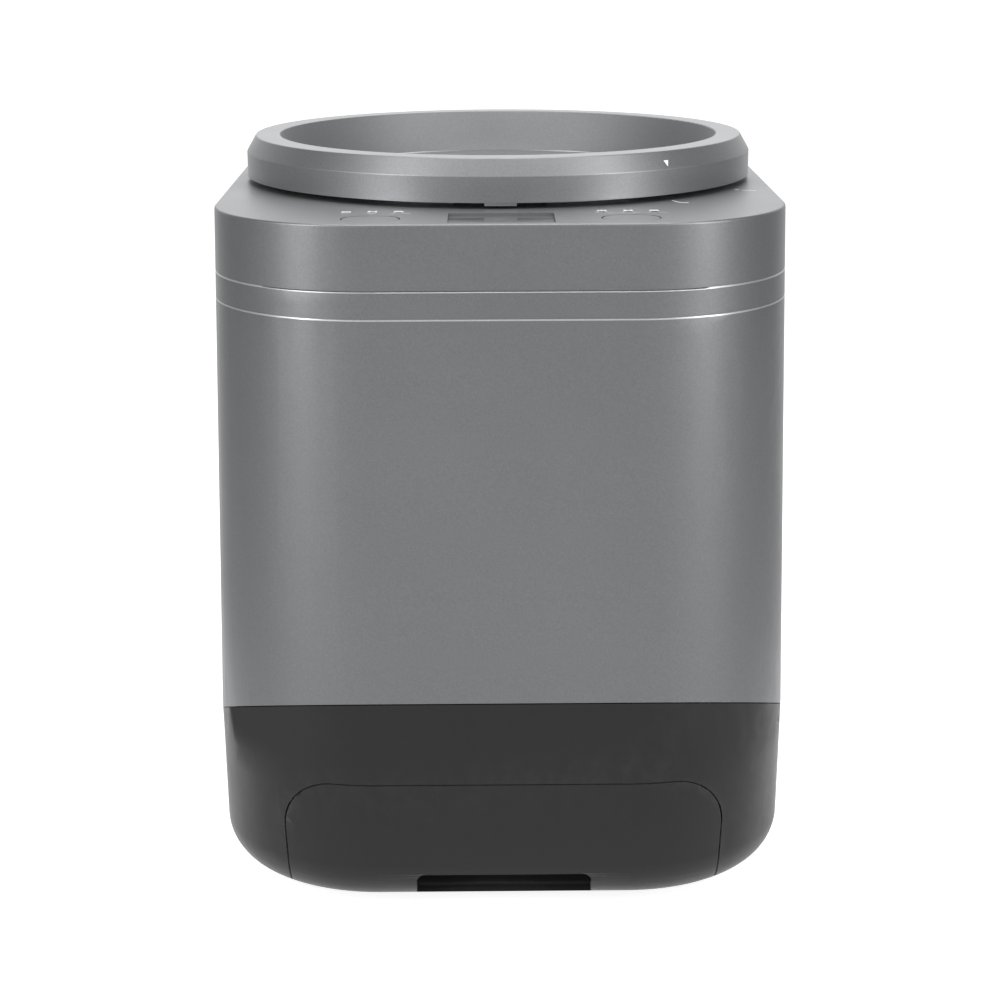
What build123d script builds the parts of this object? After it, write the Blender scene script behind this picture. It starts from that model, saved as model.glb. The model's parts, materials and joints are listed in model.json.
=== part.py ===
from build123d import *

import os
from math import asin, atan2, cos, degrees, hypot, pi, radians, sin, sqrt, tan

# Electric food waste composter: a deck-topped body with a twist-and-lift lid, a stirred bucket
# and a filter drawer in the base.  Millimetres, +Z up, front towards -Y, the origin on the table
# under the middle of the body.

# ---------------------------------------------------------------- driving dimensions
# Body
deck_width = 268.1            # across the deck
control_strip = 42.6          # the deck is this much deeper than wide, for the controls
corner_radius = 74.6          # plan corners of the deck
foot_height = 6.0
body_height = 324.0           # underside of the base to the deck
belly_height = 79.0           # underside to the widest level
shell_draft = 1.02            # degrees, the body widens down to the belly
base_taper = 1.2              # degrees, the base narrows below the belly
bottom_round = 22.0           # radius of the lower edge
deck_round = 1.2              # radius of the deck's edge
wall = 3.0                    # moulded shells
tongue_wall = 2.2             # ribs that key one shell into the next
tongue_reach = 4.0            # how far a tongue stands past the seam
tongue_play = 0.2             # tongue to the wall that it slides inside
tongue_root = 0.1             # how far a tongue's foot sinks into its own wall
fit_gap = 0.3                 # clearance between pieces that slide or drop together
seam_gap = 0.5                # open line between base and outer shell
cover_seam_drop = 29.7        # deck to the seam between top cover and outer shell
cover_seam_gap = 0.1
groove_drop = 42.3            # deck to the line cut round the outer shell
groove_height = 0.8
groove_depth = 0.35
front_seam_rise = 102.2       # underside to the shell-to-base seam on the front face
seam_fall = 20.4              # degrees, the seam sweeps down going back from the front face
seam_fall_run = 60.0          # front face to where the seam starts to level out
seam_level_radius = 80.0

# Filling opening, locking collar and lid, each radius worked out from the opening
opening_radius = 105.0
skirt_play = 2.0              # opening to the lid's skirt
skirt_wall = 2.5
skirt_drop = 9.5              # deck to the skirt's lower edge
lug_reach = 5.0               # skirt to the tip of the bayonet lugs
lug_angle = 18.0
lug_height = 3.0
lug_count = 4
slot_play = 2.0               # lug's tip to the slot it drops through
slot_angle = 23.0
collar_land = 3.0             # slot to the collar's edge
collar_height = 2.8
rim_setback = 1.5             # opening to the raised rim on the deck
rim_thick = 3.0
rim_height = 2.0
lid_height = 20.15            # band's lower edge to the lip
lid_gap = 2.8                 # deck to the band's lower edge
band_overhang = 22.7          # band past the opening
bevel_height = 8.1
bevel_width = 4.7             # band to lip
lip_width = 12.3              # flat of the lip
lip_round = 1.0
lid_wall = 2.6
lip_setback = 1.2             # inner corner behind the lip
bevel_setback = 0.4           # inner corner behind the bevel
dish_depth = 20.6
dish_land = 1.0               # foot of the dish's slope to the skirt's inner face
dish_land_rise = 0.4          # that foot above the dish floor
shoulder_rise = 1.0           # back of the slope above the land
shoulder_fall = 2.0           # land to the shoulder on the skirt
shoulder_skin = 0.4           # extra wall at the shoulder
ledge_width = 3.5             # ring's inward ledge, held between dish floor and seal plate
ledge_height = 2.8
ledge_drop = 4.0              # deck to the ledge's underside
dish_floor_thick = 3.0
dish_floor_play = 0.5
dish_ring_radii = (34.0, 58.0, 82.0)
dish_ring_width = 1.2
dish_ring_depth = 0.4
seal_flange_thick = 2.2
seal_flange_play = 0.8
hoop_play = 0.5               # ledge to the seal plate's hoop that stands inside it
hoop_thick = 2.5
gasket_width = 11.5
gasket_lip = 8.0              # width of the gasket inside its groove
gasket_base = 1.6
gasket_groove = 1.6
lid_screw_reach = 60.0
lid_screw_count = 4
lid_screw_radius = 1.6
lid_screw_head = 3.4
lid_screw_head_height = 1.8
lid_screw_cover = 1.2         # screw's tip to the dish floor's face
lid_boss_radius = 5.0
index_tab_width = 15.0        # small tab under the band at the front
index_tab_drop = 1.4
index_tab_thick = 2.4
index_tab_inset = 0.3
index_tab_root = 3.0
lid_switch_angle = 225.0      # from +X about the lid axis
switch_depth = 7.0
switch_width = 20.0
switch_height = 12.0
switch_drop = 0.5             # collar to the switch's top
switch_pins = (1.0, 12.0, 3.0)

# Bucket, chamber and blades
bucket_rim_play = 1.0         # skirt's inner face to the bucket's rim
bucket_rim_width = 13.0       # rim past the bucket's wall
bucket_rim_thick = 2.5
bucket_wall = 2.5
rim_drop = 12.0               # deck to the top of the bucket's rim
liner_play = 3.5              # bucket's wall to the liner
liner_lift = 38.0             # gearbox to the liner's underside
liner_floor_gap = 9.5         # liner's floor to the bucket's underside
liner_floor_hole = 20.0
cutter_count = 3
cutter_first = 30.0
cutter_reach = 12.0
cutter_height = 42.0
cutter_thick = 5.0
cutter_lift = 36.0            # bucket's floor to the cutters
cutter_slope = 6.0            # step taken off each cutter's top
grip_radius = 2.5             # wire of the bucket's two grips
grip_span = 62.0
grip_stand = 14.0             # grip wire to the bucket's wall
grip_drop = 26.0              # rim to grip
grip_end_gap = 0.1
bucket_hub_radius = 11.0
bucket_hub_height = 28.0
shaft_radius = 6.0
shaft_clearance = 0.06
shaft_above = 5.0             # bucket's hub to the top of the shaft
shaft_below = 4.0             # bucket's underside to the foot of the shaft
blade_hub_radius = 15.0
blade_hub_wall = 3.2
blade_hub_cap = 3.0           # shaft's top to the hub's top
blade_hub_play = 1.2          # over the bucket's hub
blade_hub_lift = 1.0          # over the bucket's floor
blade_low_gap = 5.0           # lower arm's tip to the bucket's wall
blade_high_gap = 14.0
blade_lift = 3.0              # bucket's floor to the lower arm
blade_step = 2.0              # lower arm's top to the upper arm
blade_height = 14.0
blade_thick = 6.0
blade_first = 20.0            # direction of the lower arm
blade_lean = 24.0             # how far each arm's tip is bent aside
blade_root = 2.0
arm_reach_share = 0.97        # of the reach, to the middle of the tip
arm_bend = (0.55, 0.22)       # middle of the arm: share of the reach, and of the tip's offset
wrap_gap = 0.15               # liner to what is wrapped or seated on it
heater_thick = 3.0
heater_height = 42.0
heater_lift = 18.0
jacket_gap = 0.2              # heater to jacket
jacket_thick = 3.0
jacket_lift = 4.0             # liner's underside to the jacket
jacket_drop = 23.5            # liner's flange to the jacket
sensor_bite = 1.0             # depth of the sensor's curved face
sensor_size = (9.6, 12.0, 12.0)
sensor_lift = 8.0             # heater to sensor
post_reach = 80.0
post_radius = 5.0
post_angles = (-15.0, 90.0, 195.0)

# Drive: the teeth share out the way from the lid axis to the motor, just clear of the jacket
motor_gap = 1.65              # jacket to motor
pressure_angle = 25.0
gear_backlash = 0.30
addendum = 0.9                # in modules
dedendum = 1.2
flank_steps = 4
pinion_teeth = 12
idler_wheel_teeth = 44
idler_pinion_teeth = 14
output_teeth = 52
fast_width = 10.0
slow_width = 14.0
pinion_overlap = 0.5          # pinion past each face of the wheel it drives
idler_collar_radius = 10.0
fast_lift = 2.0               # gearbox floor to the fast wheels
train_gap = 3.0               # fast wheel to slow wheel
output_holes = 6
output_hole_radius = 8.0
output_hole_share = 0.58      # of the pitch radius
idler_holes = 5
idler_hole_radius = 7.0
idler_hole_share = 0.62
train_angle = -115.0          # degrees, from the lid axis towards the motor
gearbox_wall = 3.0
gearbox_height = 44.0
gearbox_split = 16.5          # height of the lower housing
slow_case_gap = 7.0           # pitch circle to the outside of the gearbox
fast_case_gap = 6.0
motor_land = 1.0
spigot_radius = 8.0
pin_cover = 0.8               # gearbox's outside to the end of the idler pin
hole_play = 2.0               # output shaft to the hole in the gearbox's top
output_shaft_radius = 8.0
shoulder_width = 3.0
shoulder_height = 2.5
square_turned = 9.2           # corner radius of the square end
bearing_radius = 15.0
bearing_height = 6.0
bearing_ring = 3.0            # wall of the seat round a bearing
bearing_fit = 0.05
bearing_bore_fit = 0.04
race_widths = (2.6, 2.2)      # outer and inner rings
race_depth = 0.6
seal_wall = 2.5
seal_height = 5.0
idler_pin_radius = 4.0
motor_radius = 21.0
motor_length = 60.0
motor_wall = 2.5
motor_end = 3.0
motor_round = 2.0
motor_shaft_radius = 3.0
motor_shaft_play = 1.0
motor_shaft_below = 1.5       # past the fast wheels' undersides
motor_shaft_gap = 0.3         # shaft's top to the motor's end
rotor_play = 2.0
rotor_end_gap = 4.0
motor_cap_radius = 13.0
motor_cap_height = 5.0
terminal_size = (0.8, 5.0, 8.0)
terminal_lift = 3.0
terminal_spread = 9.0
drive_square = 14.0           # square end of the output shaft
square_root = 3.0             # liner's underside to the round shaft's end
square_seat = 6.0             # how far the square runs down into the round shaft
square_end_gap = 1.4          # square's end to the socket's roof
socket_radius = 14.0
socket_roof = 5.0
socket_gap = 0.6              # bucket to socket
socket_drop = 2.0             # liner's underside to the socket's mouth

# Chassis and base
chassis_drop = 3.0            # chassis plate thickness
chassis_inset = 6.4
fan_headroom = 3.0            # fan to the chassis plate
pillar_radius = 6.0
pillar_side = 29.05           # deck's side edge to the pillars
pillar_end = 59.35            # deck's front or back edge to the pillars
tie_screw_radius = 2.0
tie_head_height = 1.2
tie_head_sunk = 0.2
tie_screw_spare = 2.0         # screw's tip to the end of its hole
driver_slot = (0.9, 2.6)
shell_boss_height = 26.0
shell_boss_cap = 2.0
shell_web_height = 7.0
shell_web_overrun = 5.0
foot_radius = 11.0
foot_round = 1.5
foot_side = 50.05             # deck's side edge to the feet
foot_end = 49.35              # deck's front or back edge to the feet

# Drawer
drawer_top = 67.5             # table to the front's upper edge
drawer_bottom = 8.6
drawer_side = 29.05           # deck's side edge to the drawer's upper corner, before rounding
drawer_lean = 3.5             # how much narrower each side is at the lower edge
drawer_corner = 24.0
drawer_seam = 0.7
front_thick = 3.5
front_clear = 6.0             # front's sides end this far before the rails
opening_clear = 4.0           # the base's opening ends this far before the rails
notch_half_width = 41.5
notch_top = 22.3
notch_round = 5.0
tray_lead = 15.35             # deck's front edge to the tray
tray_end = 81.35              # tray to the deck's back edge
tray_side = 46.05             # deck's side edge to the tray
tray_bottom = 14.0
tray_top = 57.5
tray_wall = 2.0
tray_lip = 4.0
rail_lead = 47.35             # deck's front edge to the rails
rail_past = 20.0              # rails run on behind the closed tray
rail_thick = 3.0
rail_foot = 10.0
rail_foot_thick = 2.5
front_rib_inset = 26.0        # tray's side to the ribs
front_rib_thick = 8.0
front_rib_z = 40.0
front_rib_height = 20.0
drawer_screw_radius = 1.5
drawer_screw_play = 0.2
drawer_screw_bite = 8.0
drawer_screw_head = 1.8
case_gap = 2.4
case_height = 36.0
case_wall = 2.0
case_lid_thick = 2.4
carbon_drop = 0.5             # case's edge to the carbon
lid_slot_length = 130.0
lid_slot_width = 6.0
lid_slot_pitch = 15.0
lid_slot_rows = 5
magnet_size = (24.0, 9.0, 26.0)
strike_size = (20.0, 1.2, 16.0)
strike_lift = 8.0

# Control deck: leads are from the deck's front edge
window_width = 48.0
window_lead = 4.95
window_depth = 31.2
window_sunk = 1.2
window_thick = 2.4
window_play = 0.1
display_inset = 2.0
key_width = 26.0
key_depth = 19.6
key_lead = 18.45              # to the middle of the keys
key_left_x = -58.7
key_right_x = 58.2
key_thick = 4.0
key_round = 0.5
key_gap = 0.45
key_travel = 1.0
key_stem_radius = 3.0
key_stem_play = 0.25          # stem to plunger when the key is pressed
light_pitch = 12.0
light_lead = 41.45
light_size = (4.6, 2.6)
light_play = 0.1
light_stalk_radius = 1.0
board_thick = 1.6
board_drop = 16.0             # deck to the top of the control board
board_half_width = 82.0
board_lead = 10.35
board_depth = 49.0
board_boss_inset = 4.5
board_boss_radius = 3.5
board_boss_blind = 3.0        # deck's underside to the end of a boss's hole
board_screw_radius = 1.35
board_screw_play = 0.05
board_screw_spare = 2.0
board_screw_head = 2.6
board_screw_head_height = 1.6
tact_size = (6.0, 6.0, 7.4)   # switch under each key
plunger_radius = 1.7
plunger_height = 0.8

# Exhaust, fan and rear fittings
duct_side = 7.05              # deck's side edge to the duct
duct_standoff = 7.5           # liner to the duct
duct_width = 36.0
duct_wall = 1.6
duct_top_drop = 24.0
port_height = 20.0
port_margin = 4.0             # duct's top and sides to the port
fan_lead = 21.35              # fan to the deck's back edge
fan_size = 60.0
fan_thick = 20.0
fan_corner = 4.0
fan_x = -20.0
fan_bore = 27.5
fan_hub = 11.0
fan_strut = 3.0
fan_strut_root = 2.0          # how far a strut runs into the hub and the ring
fan_pin_radius = 2.0
fan_pin_setback = 4.0
fan_tip_gap = 1.2
impeller_setback = 2.5        # frame's front to the impeller
impeller_back_gap = 3.4
impeller_blades = 7
impeller_root = 1.5
impeller_pitch = 38.0
impeller_thick = 1.6
impeller_chord = 13.0
grille_width = 68.0
grille_low = 27.0
grille_height = 40.0
grille_corner = 4.0
grille_frame = 4.0
grille_bore_corner = 3.0
grille_sunk = 0.8
grille_thick = 3.0
grille_sleeve = 5.0           # fan to the start of the slots
grille_slots = 6
grille_slot_ends = 7.0
grille_slot_margin = 5.0
grille_open_share = 0.52      # of a slot's pitch
inlet_x = 38.0
inlet_z = 40.0
inlet_width = 28.0
inlet_height = 20.0
inlet_depth = 16.0
inlet_corner = 3.0
inlet_sunk = 0.6
inlet_flange = 3.0
inlet_flange_margin = 4.0
inlet_flange_corner = 4.0
inlet_flange_gap = 2.4        # base's wall to the flange
socket_rim = 2.5
socket_corner = 2.0
socket_floor = 3.0
contact_size = (1.8, 4.0)
contact_places = ((-6.5, -1.5), (0.0, 2.5), (6.5, -1.5))
contact_setback = 7.0         # socket's mouth to its contact blades
vent_slots = 9
vent_pitch = 9.0
vent_width = 3.4
vent_height = 34.0
vent_lift = 12.0              # front seam's level to the slots
vent_cut = 12.0

# Mains board on the chassis plate: places are from its front left corner
main_board_side = 40.05       # deck's side edge to the board
main_board_lead = 23.35       # deck's front edge to the board
main_board_width = 60.0
main_board_depth = 60.0
stand_inset = 6.0
stand_radius = 3.0
stand_height = 8.0
transformer_place = (20.0, 8.0)
transformer_size = (26.0, 24.0, 24.0)
relay_place = (12.0, 36.0)
relay_size = (16.0, 14.0, 16.0)
filter_place = (32.0, 36.0)
filter_size = (12.0, 12.0, 12.0)
capacitor_place = (52.0, 40.0)
capacitor_radius = 6.0
capacitor_height = 28.0
sink_place = (4.0, 10.0)
sink_size = (8.0, 20.0, 20.0)
sink_slots = 4
sink_root = 3.0
sink_slot_start = 0.4         # share of a slot's pitch
sink_slot_share = 0.5

# Modelling allowances
past = 1.0                    # cutters run this far past the face they open
weld = 0.5                    # pieces of one solid sink this far into each other
touch = 0.01                  # heights nearer than this are the same

# ---------------------------------------------------------------- places worked out from them
deck_depth = deck_width + control_strip
lid_y = control_strip / 2
front_y = -deck_depth / 2
back_y = deck_depth / 2
beyond = deck_depth           # planes this far out are clear of the body

base_z = foot_height
deck_z = base_z + body_height
belly_z = base_z + belly_height
cover_seam_z = deck_z - cover_seam_drop
groove_z = deck_z - groove_drop
front_seam_z = base_z + front_seam_rise
floor_z = base_z + wall
deck_under = deck_z - wall

skirt_outer_radius = opening_radius - skirt_play
skirt_inner_radius = skirt_outer_radius - skirt_wall
lug_radius = skirt_outer_radius + lug_reach
slot_radius = lug_radius + slot_play
collar_radius = slot_radius + collar_land
rim_inner_radius = opening_radius + rim_setback
rim_outer_radius = rim_inner_radius + rim_thick
band_radius = opening_radius + band_overhang
lip_radius = band_radius - bevel_width
lip_inner_radius = lip_radius - lip_width
dish_radius = skirt_inner_radius + dish_land
ledge_inner_radius = skirt_inner_radius - ledge_width
collar_z = deck_under - collar_height
band_z = deck_z + lid_gap
lid_top = band_z + lid_height
bevel_z = lid_top - bevel_height
dish_z = lid_top - dish_depth
dish_under_z = dish_z - dish_floor_thick
skirt_z = deck_z - skirt_drop
ledge_z = deck_z - ledge_drop
seal_top_z = ledge_z - fit_gap
seal_z = seal_top_z - seal_flange_thick

chassis_under = floor_z + fan_size + fan_headroom
chassis_z = chassis_under + chassis_drop
shell_boss_top = chassis_z + shell_boss_height
pillar_x = deck_width / 2 - pillar_side
pillar_y = deck_depth / 2 - pillar_end
foot_x = deck_width / 2 - foot_side
foot_y = deck_depth / 2 - foot_end
tie_head_z = base_z + tie_head_sunk + tie_head_height

gearbox_z = chassis_z
gearbox_top = gearbox_z + gearbox_height
gearbox_floor_z = gearbox_z + gearbox_wall
gearbox_under_top = gearbox_top - gearbox_wall
fast_z = gearbox_floor_z + fast_lift
slow_z = fast_z + fast_width + train_gap
motor_top = gearbox_top + motor_length

bucket_rim_radius = skirt_inner_radius - bucket_rim_play
bucket_outer_radius = bucket_rim_radius - bucket_rim_width
bucket_radius = bucket_outer_radius - bucket_wall
gasket_inner_radius = bucket_rim_radius - gasket_width
liner_radius = bucket_outer_radius + liner_play
liner_wall_radius = liner_radius + wall
wrap_radius = liner_wall_radius + wrap_gap
jacket_radius = wrap_radius + heater_thick + jacket_gap
jacket_outer_radius = jacket_radius + jacket_thick
rim_z = deck_z - rim_drop
bucket_seat_z = rim_z - bucket_rim_thick
liner_flange_z = bucket_seat_z - wall
liner_z = gearbox_top + liner_lift
bucket_under_z = liner_z + wall + liner_floor_gap
bucket_floor_z = bucket_under_z + bucket_wall
bucket_hub_z = bucket_floor_z + bucket_hub_height
agitator_top_z = bucket_hub_z + shaft_above
heater_z = liner_z + heater_lift
heater_top = heater_z + heater_height
socket_top_z = bucket_under_z - socket_gap
socket_roof_z = socket_top_z - socket_roof

train_teeth = output_teeth + idler_pinion_teeth + idler_wheel_teeth + pinion_teeth
gear_module = 2 * (jacket_outer_radius + motor_gap + motor_radius) / train_teeth

drawer_half_width = deck_width / 2 - drawer_side
drawer_half_foot = drawer_half_width - drawer_lean
tray_front = front_y + tray_lead
tray_back = back_y - tray_end
tray_half_width = deck_width / 2 - tray_side
tray_floor = tray_bottom + tray_wall
rail_front = front_y + rail_lead
front_rib_x = tray_half_width - front_rib_inset

window_front = front_y + window_lead
window_back = window_front + window_depth
window_top = deck_z - window_sunk
window_under = window_top - window_thick
key_y = front_y + key_lead
light_y = front_y + light_lead
board_front = front_y + board_lead
board_back = board_front + board_depth
board_top = deck_z - board_drop
board_under = board_top - board_thick
plunger_top = board_top + tact_size[2] + plunger_height

duct_y = lid_y
duct_inner_x = liner_wall_radius + duct_standoff
duct_outer_x = deck_width / 2 - duct_side
duct_top = deck_z - duct_top_drop
fan_back = back_y - fan_lead
fan_front = fan_back - fan_thick
fan_z = floor_z + fan_size / 2
fan_tip = fan_bore - fan_tip_gap
main_board_left = deck_width / 2 - main_board_side - main_board_width
main_board_front = front_y + main_board_lead
main_board_z = chassis_z + stand_height
main_board_top = main_board_z + board_thick


def pitch_radius(teeth):
    """Pitch radius of a wheel of the gear train."""
    return gear_module * teeth / 2


slow_centres = pitch_radius(output_teeth) + pitch_radius(idler_pinion_teeth)
fast_centres = pitch_radius(idler_wheel_teeth) + pitch_radius(pinion_teeth)
train_x = cos(radians(train_angle))
train_y = sin(radians(train_angle))
idler_x = slow_centres * train_x
idler_y = lid_y + slow_centres * train_y
motor_x = (slow_centres + fast_centres) * train_x
motor_y = lid_y + (slow_centres + fast_centres) * train_y


# ---------------------------------------------------------------- small makers
def disc(radius, low, high, x=0.0, y=lid_y):
    """Upright cylinder between two heights, on the lid axis unless placed."""
    return Pos(x, y, (low + high) / 2) * Cylinder(radius, high - low)


def tube(outer, inner, low, high, x=0.0, y=lid_y):
    """Upright ring between two heights."""
    return disc(outer, low, high, x, y) - disc(inner, low - past, high + past, x, y)


def block(x_range, y_range, z_range):
    """Box between two corners."""
    (x0, x1), (y0, y1), (z0, z1) = x_range, y_range, z_range
    centre = Pos((x0 + x1) / 2, (y0 + y1) / 2, (z0 + z1) / 2)
    return centre * Box(x1 - x0, y1 - y0, z1 - z0)


def both(half):
    """Range from -half to half."""
    return -half, half


def slab(low, high):
    """Everything between two heights."""
    return block(both(beyond), both(beyond), (low, high))


def along_y(sketch, front, back):
    """Extrude an X-Z sketch from its back plane forward to its front plane."""
    return extrude(Plane.XZ.offset(-back) * sketch, amount=back - front)


def along_x(sketch, left, right):
    """Extrude a Y-Z sketch between two X values."""
    return extrude(Plane.YZ.offset(left) * sketch, amount=right - left)


def sector(outer, centre_angle, width, low, high):
    """Pie slice on the lid axis, used to keep or clear part of a ring."""
    half = radians(width / 2)
    mid = radians(centre_angle)
    reach = outer * 1.5
    edge = [(0, 0)]
    edge += [(reach * cos(mid + a), reach * sin(mid + a)) for a in (-half, 0, half)]
    return Pos(0, lid_y, low) * extrude(Polygon(*edge, align=None), amount=high - low)


def about_lid(reach, angles):
    """Points at a reach from the lid axis, in the directions of angles."""
    return [(reach * cos(radians(a)), lid_y + reach * sin(radians(a))) for a in angles]


def round_about(count, first=0.0):
    """Evenly spaced turns about the lid axis."""
    for step in range(count):
        yield Pos(0, lid_y, 0) * Rot(0, 0, first + 360 * step / count) * Pos(0, -lid_y, 0)


def four_corners(half_x, half_y):
    """The four points at the same distances from the middle of the body."""
    return [(x, y) for x in both(half_x) for y in both(half_y)]


# ---------------------------------------------------------------- body form
def body_grow(z):
    """How far the body has widened since the deck at height z."""
    if z >= belly_z:
        return (deck_z - z) * tan(radians(shell_draft))
    full = (deck_z - belly_z) * tan(radians(shell_draft))
    return full - (belly_z - z) * tan(radians(base_taper))


def outline(z, inset=0.0):
    """Plan outline of the body at height z, drawn in by inset."""
    grow = body_grow(z) - inset
    shape = RectangleRounded(deck_width + 2 * grow, deck_depth + 2 * grow, corner_radius + grow)
    return Pos(0, 0, z) * shape


def stack(low, high, inset=0.0):
    """Straight-sided length of the body between two heights with no change of taper."""
    return loft([outline(low, inset).face(), outline(high, inset).face()], ruled=True)


def body_solid(inset=0.0):
    """The closed form of the body, drawn in by inset on every side."""
    low, high = base_z + inset, deck_z - inset
    lower = stack(low, belly_z, inset)
    lower = fillet(lower.edges().group_by(Axis.Z)[0], bottom_round - inset)
    upper = stack(belly_z, high, inset)
    if inset == 0.0:
        upper = fillet(upper.edges().group_by(Axis.Z)[-1], deck_round)
    return lower + upper


def below_seam(lift):
    """Everything under the shell-to-base seam, with the seam moved up by lift."""
    fall = radians(seam_fall)
    front = front_y - body_grow(front_seam_z)
    lead_z = front_seam_z + lift
    turn_y = front + seam_fall_run
    turn_z = lead_z - seam_fall_run * tan(fall)
    level_y = turn_y + seam_level_radius * sin(fall)
    level_z = turn_z - seam_level_radius * (1 - cos(fall))
    middle_y = level_y - seam_level_radius * sin(fall / 2)
    middle_z = level_z + seam_level_radius * (1 - cos(fall / 2))
    lead, level = (front, lead_z), (level_y, level_z)
    under = [(-beyond, lead_z), (-beyond, -beyond), (beyond, -beyond), (beyond, level_z)]
    profile = Polyline(lead, *under, level)
    profile += ThreePointArc(level, (middle_y, middle_z), (turn_y, turn_z))
    profile += Line((turn_y, turn_z), lead)
    return along_x(make_face(profile), -beyond, beyond)


def ring_between(outer_inset, inner_inset):
    """Closed skin of the body between two insets."""
    return body_solid(outer_inset) - body_solid(inner_inset)


def edge_bevel(z):
    """Cutter for a line round the body: a bevel facing up under a level ledge at z."""
    foot = outline(z - groove_height)
    head = outline(z, groove_depth)
    keep = loft([foot.face(), head.face()], ruled=True)
    return slab(z - groove_height, z) - keep


# ---------------------------------------------------------------- housing
def lock_slots(low, high):
    """The gaps that the lid's lugs drop through."""
    turns = [360 * step / lug_count for step in range(lug_count)]
    band = tube(slot_radius, skirt_inner_radius, low, high)
    return Compound([band & sector(slot_radius, turn, slot_angle, low, high) for turn in turns])


def stadium(width, depth, grow=0.0):
    """Key outline: straight sides with round ends."""
    return SlotOverall(width + 2 * grow, depth + 2 * grow)


def light_places():
    """Centres of the six light pipes."""
    keys = (key_left_x, key_right_x)
    return [(x + step * light_pitch, light_y) for x in keys for step in (-1, 0, 1)]


def board_boss_places():
    """Centres of the control board's four screws."""
    levels = (board_front + board_boss_inset, board_back - board_boss_inset)
    return [(x, y) for x in both(board_half_width - board_boss_inset) for y in levels]


def deck_holes():
    """Openings of the control deck: window, keys and light pipes."""
    low, high = deck_under - past, deck_z + past
    cuts = [block(both(window_width / 2), (window_front, window_back), (low, high))]
    for x in (key_left_x, key_right_x):
        hole = stadium(key_width, key_depth, key_gap)
        cuts.append(Pos(x, key_y, low) * extrude(hole, amount=high - low))
    for x, y in light_places():
        cuts.append(Pos(x, y, deck_z - wall / 2) * Box(*light_size, high - low))
    return cuts


def make_top_cover(skin):
    """Deck with its skirt, the raised rim round the opening and the control board's bosses."""
    low, high = deck_under - past, deck_z + rim_height + past
    cover = skin & slab(cover_seam_z + cover_seam_gap, deck_z + past)
    cover += tube(rim_outer_radius, rim_inner_radius, deck_under, deck_z + rim_height)
    cover -= disc(opening_radius, low, high)
    cover -= lock_slots(low, high)
    bore = board_screw_radius + board_screw_play
    for x, y in board_boss_places():
        cover += disc(board_boss_radius, board_top, deck_under + weld, x, y)
        cover -= disc(bore, board_top - past, deck_under - board_boss_blind, x, y)
    for cut in deck_holes():
        cover -= cut
    return cover


def shell_boss_web(x, y):
    """Web that ties a boss for a tie screw to the outer shell's wall."""
    corner_x = deck_width / 2 - corner_radius
    corner_y = deck_depth / 2 - corner_radius
    angle = atan2(abs(y) - corner_y, abs(x) - corner_x)
    side_x, side_y = (1 if x > 0 else -1), (1 if y > 0 else -1)
    turn = degrees(atan2(side_y * sin(angle), side_x * cos(angle)))
    length = corner_radius - hypot(abs(x) - corner_x, abs(y) - corner_y) + shell_web_overrun
    middle_z = shell_boss_top - shell_web_height / 2
    web = Pos(length / 2, 0, middle_z) * Box(length, wall, shell_web_height)
    return Pos(x, y, 0) * Rot(0, 0, turn) * web


def make_outer_shell(skin):
    """Main shell from the cover's seam down to the sweeping seam with the base."""
    near, far = wall + tongue_play, wall + tongue_play + tongue_wall
    shell = skin & slab(0, cover_seam_z)
    shell -= below_seam(0)
    shell -= edge_bevel(groove_z)
    shell -= edge_bevel(cover_seam_z + touch)
    shell += ring_between(near, far) & slab(cover_seam_z, cover_seam_z + tongue_reach)
    shell += ring_between(wall - tongue_root, far) & slab(cover_seam_z - tongue_reach, cover_seam_z)
    inside = body_solid(wall / 2)
    for x, y in four_corners(pillar_x, pillar_y):
        boss = disc(pillar_radius, chassis_z, shell_boss_top, x, y) + shell_boss_web(x, y)
        shell += boss & inside
    for x, y in four_corners(pillar_x, pillar_y):
        shell -= disc(tie_screw_radius, chassis_z - past, shell_boss_top - shell_boss_cap, x, y)
    return shell - vent_cuts()


def vent_cuts():
    """Row of upright slots in the back of the outer shell, above the base."""
    middle_z = front_seam_z + vent_lift + vent_height / 2
    cuts = []
    for step in range(vent_slots):
        x = (step - (vent_slots - 1) / 2) * vent_pitch
        slot = Pos(x, middle_z) * Rot(0, 0, 90) * SlotOverall(vent_height, vent_width)
        cuts.append(along_y(slot, back_y - vent_cut, beyond))
    return Compound(cuts)


def drawer_profile(grow=0.0):
    """Front view of the drawer's face."""
    low, high = drawer_bottom - grow, drawer_top + grow
    foot, head = drawer_half_foot + grow, drawer_half_width + grow
    shape = Polygon((-foot, low), (foot, low), (head, high), (-head, high), align=None)
    top = shape.vertices().sort_by(Axis.Y)[-2:]
    return fillet(top, drawer_corner + grow)


def inlet_hole(grow=0.0):
    """Prism through the back of the base for the power inlet."""
    shape = RectangleRounded(inlet_width + 2 * grow, inlet_height + 2 * grow, inlet_corner)
    return along_y(Pos(inlet_x, inlet_z) * shape, fan_back, beyond)


def grille_place():
    """Centre of the rear grille in the X-Z plane."""
    return Pos(fan_x, grille_low + grille_height / 2)


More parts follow.
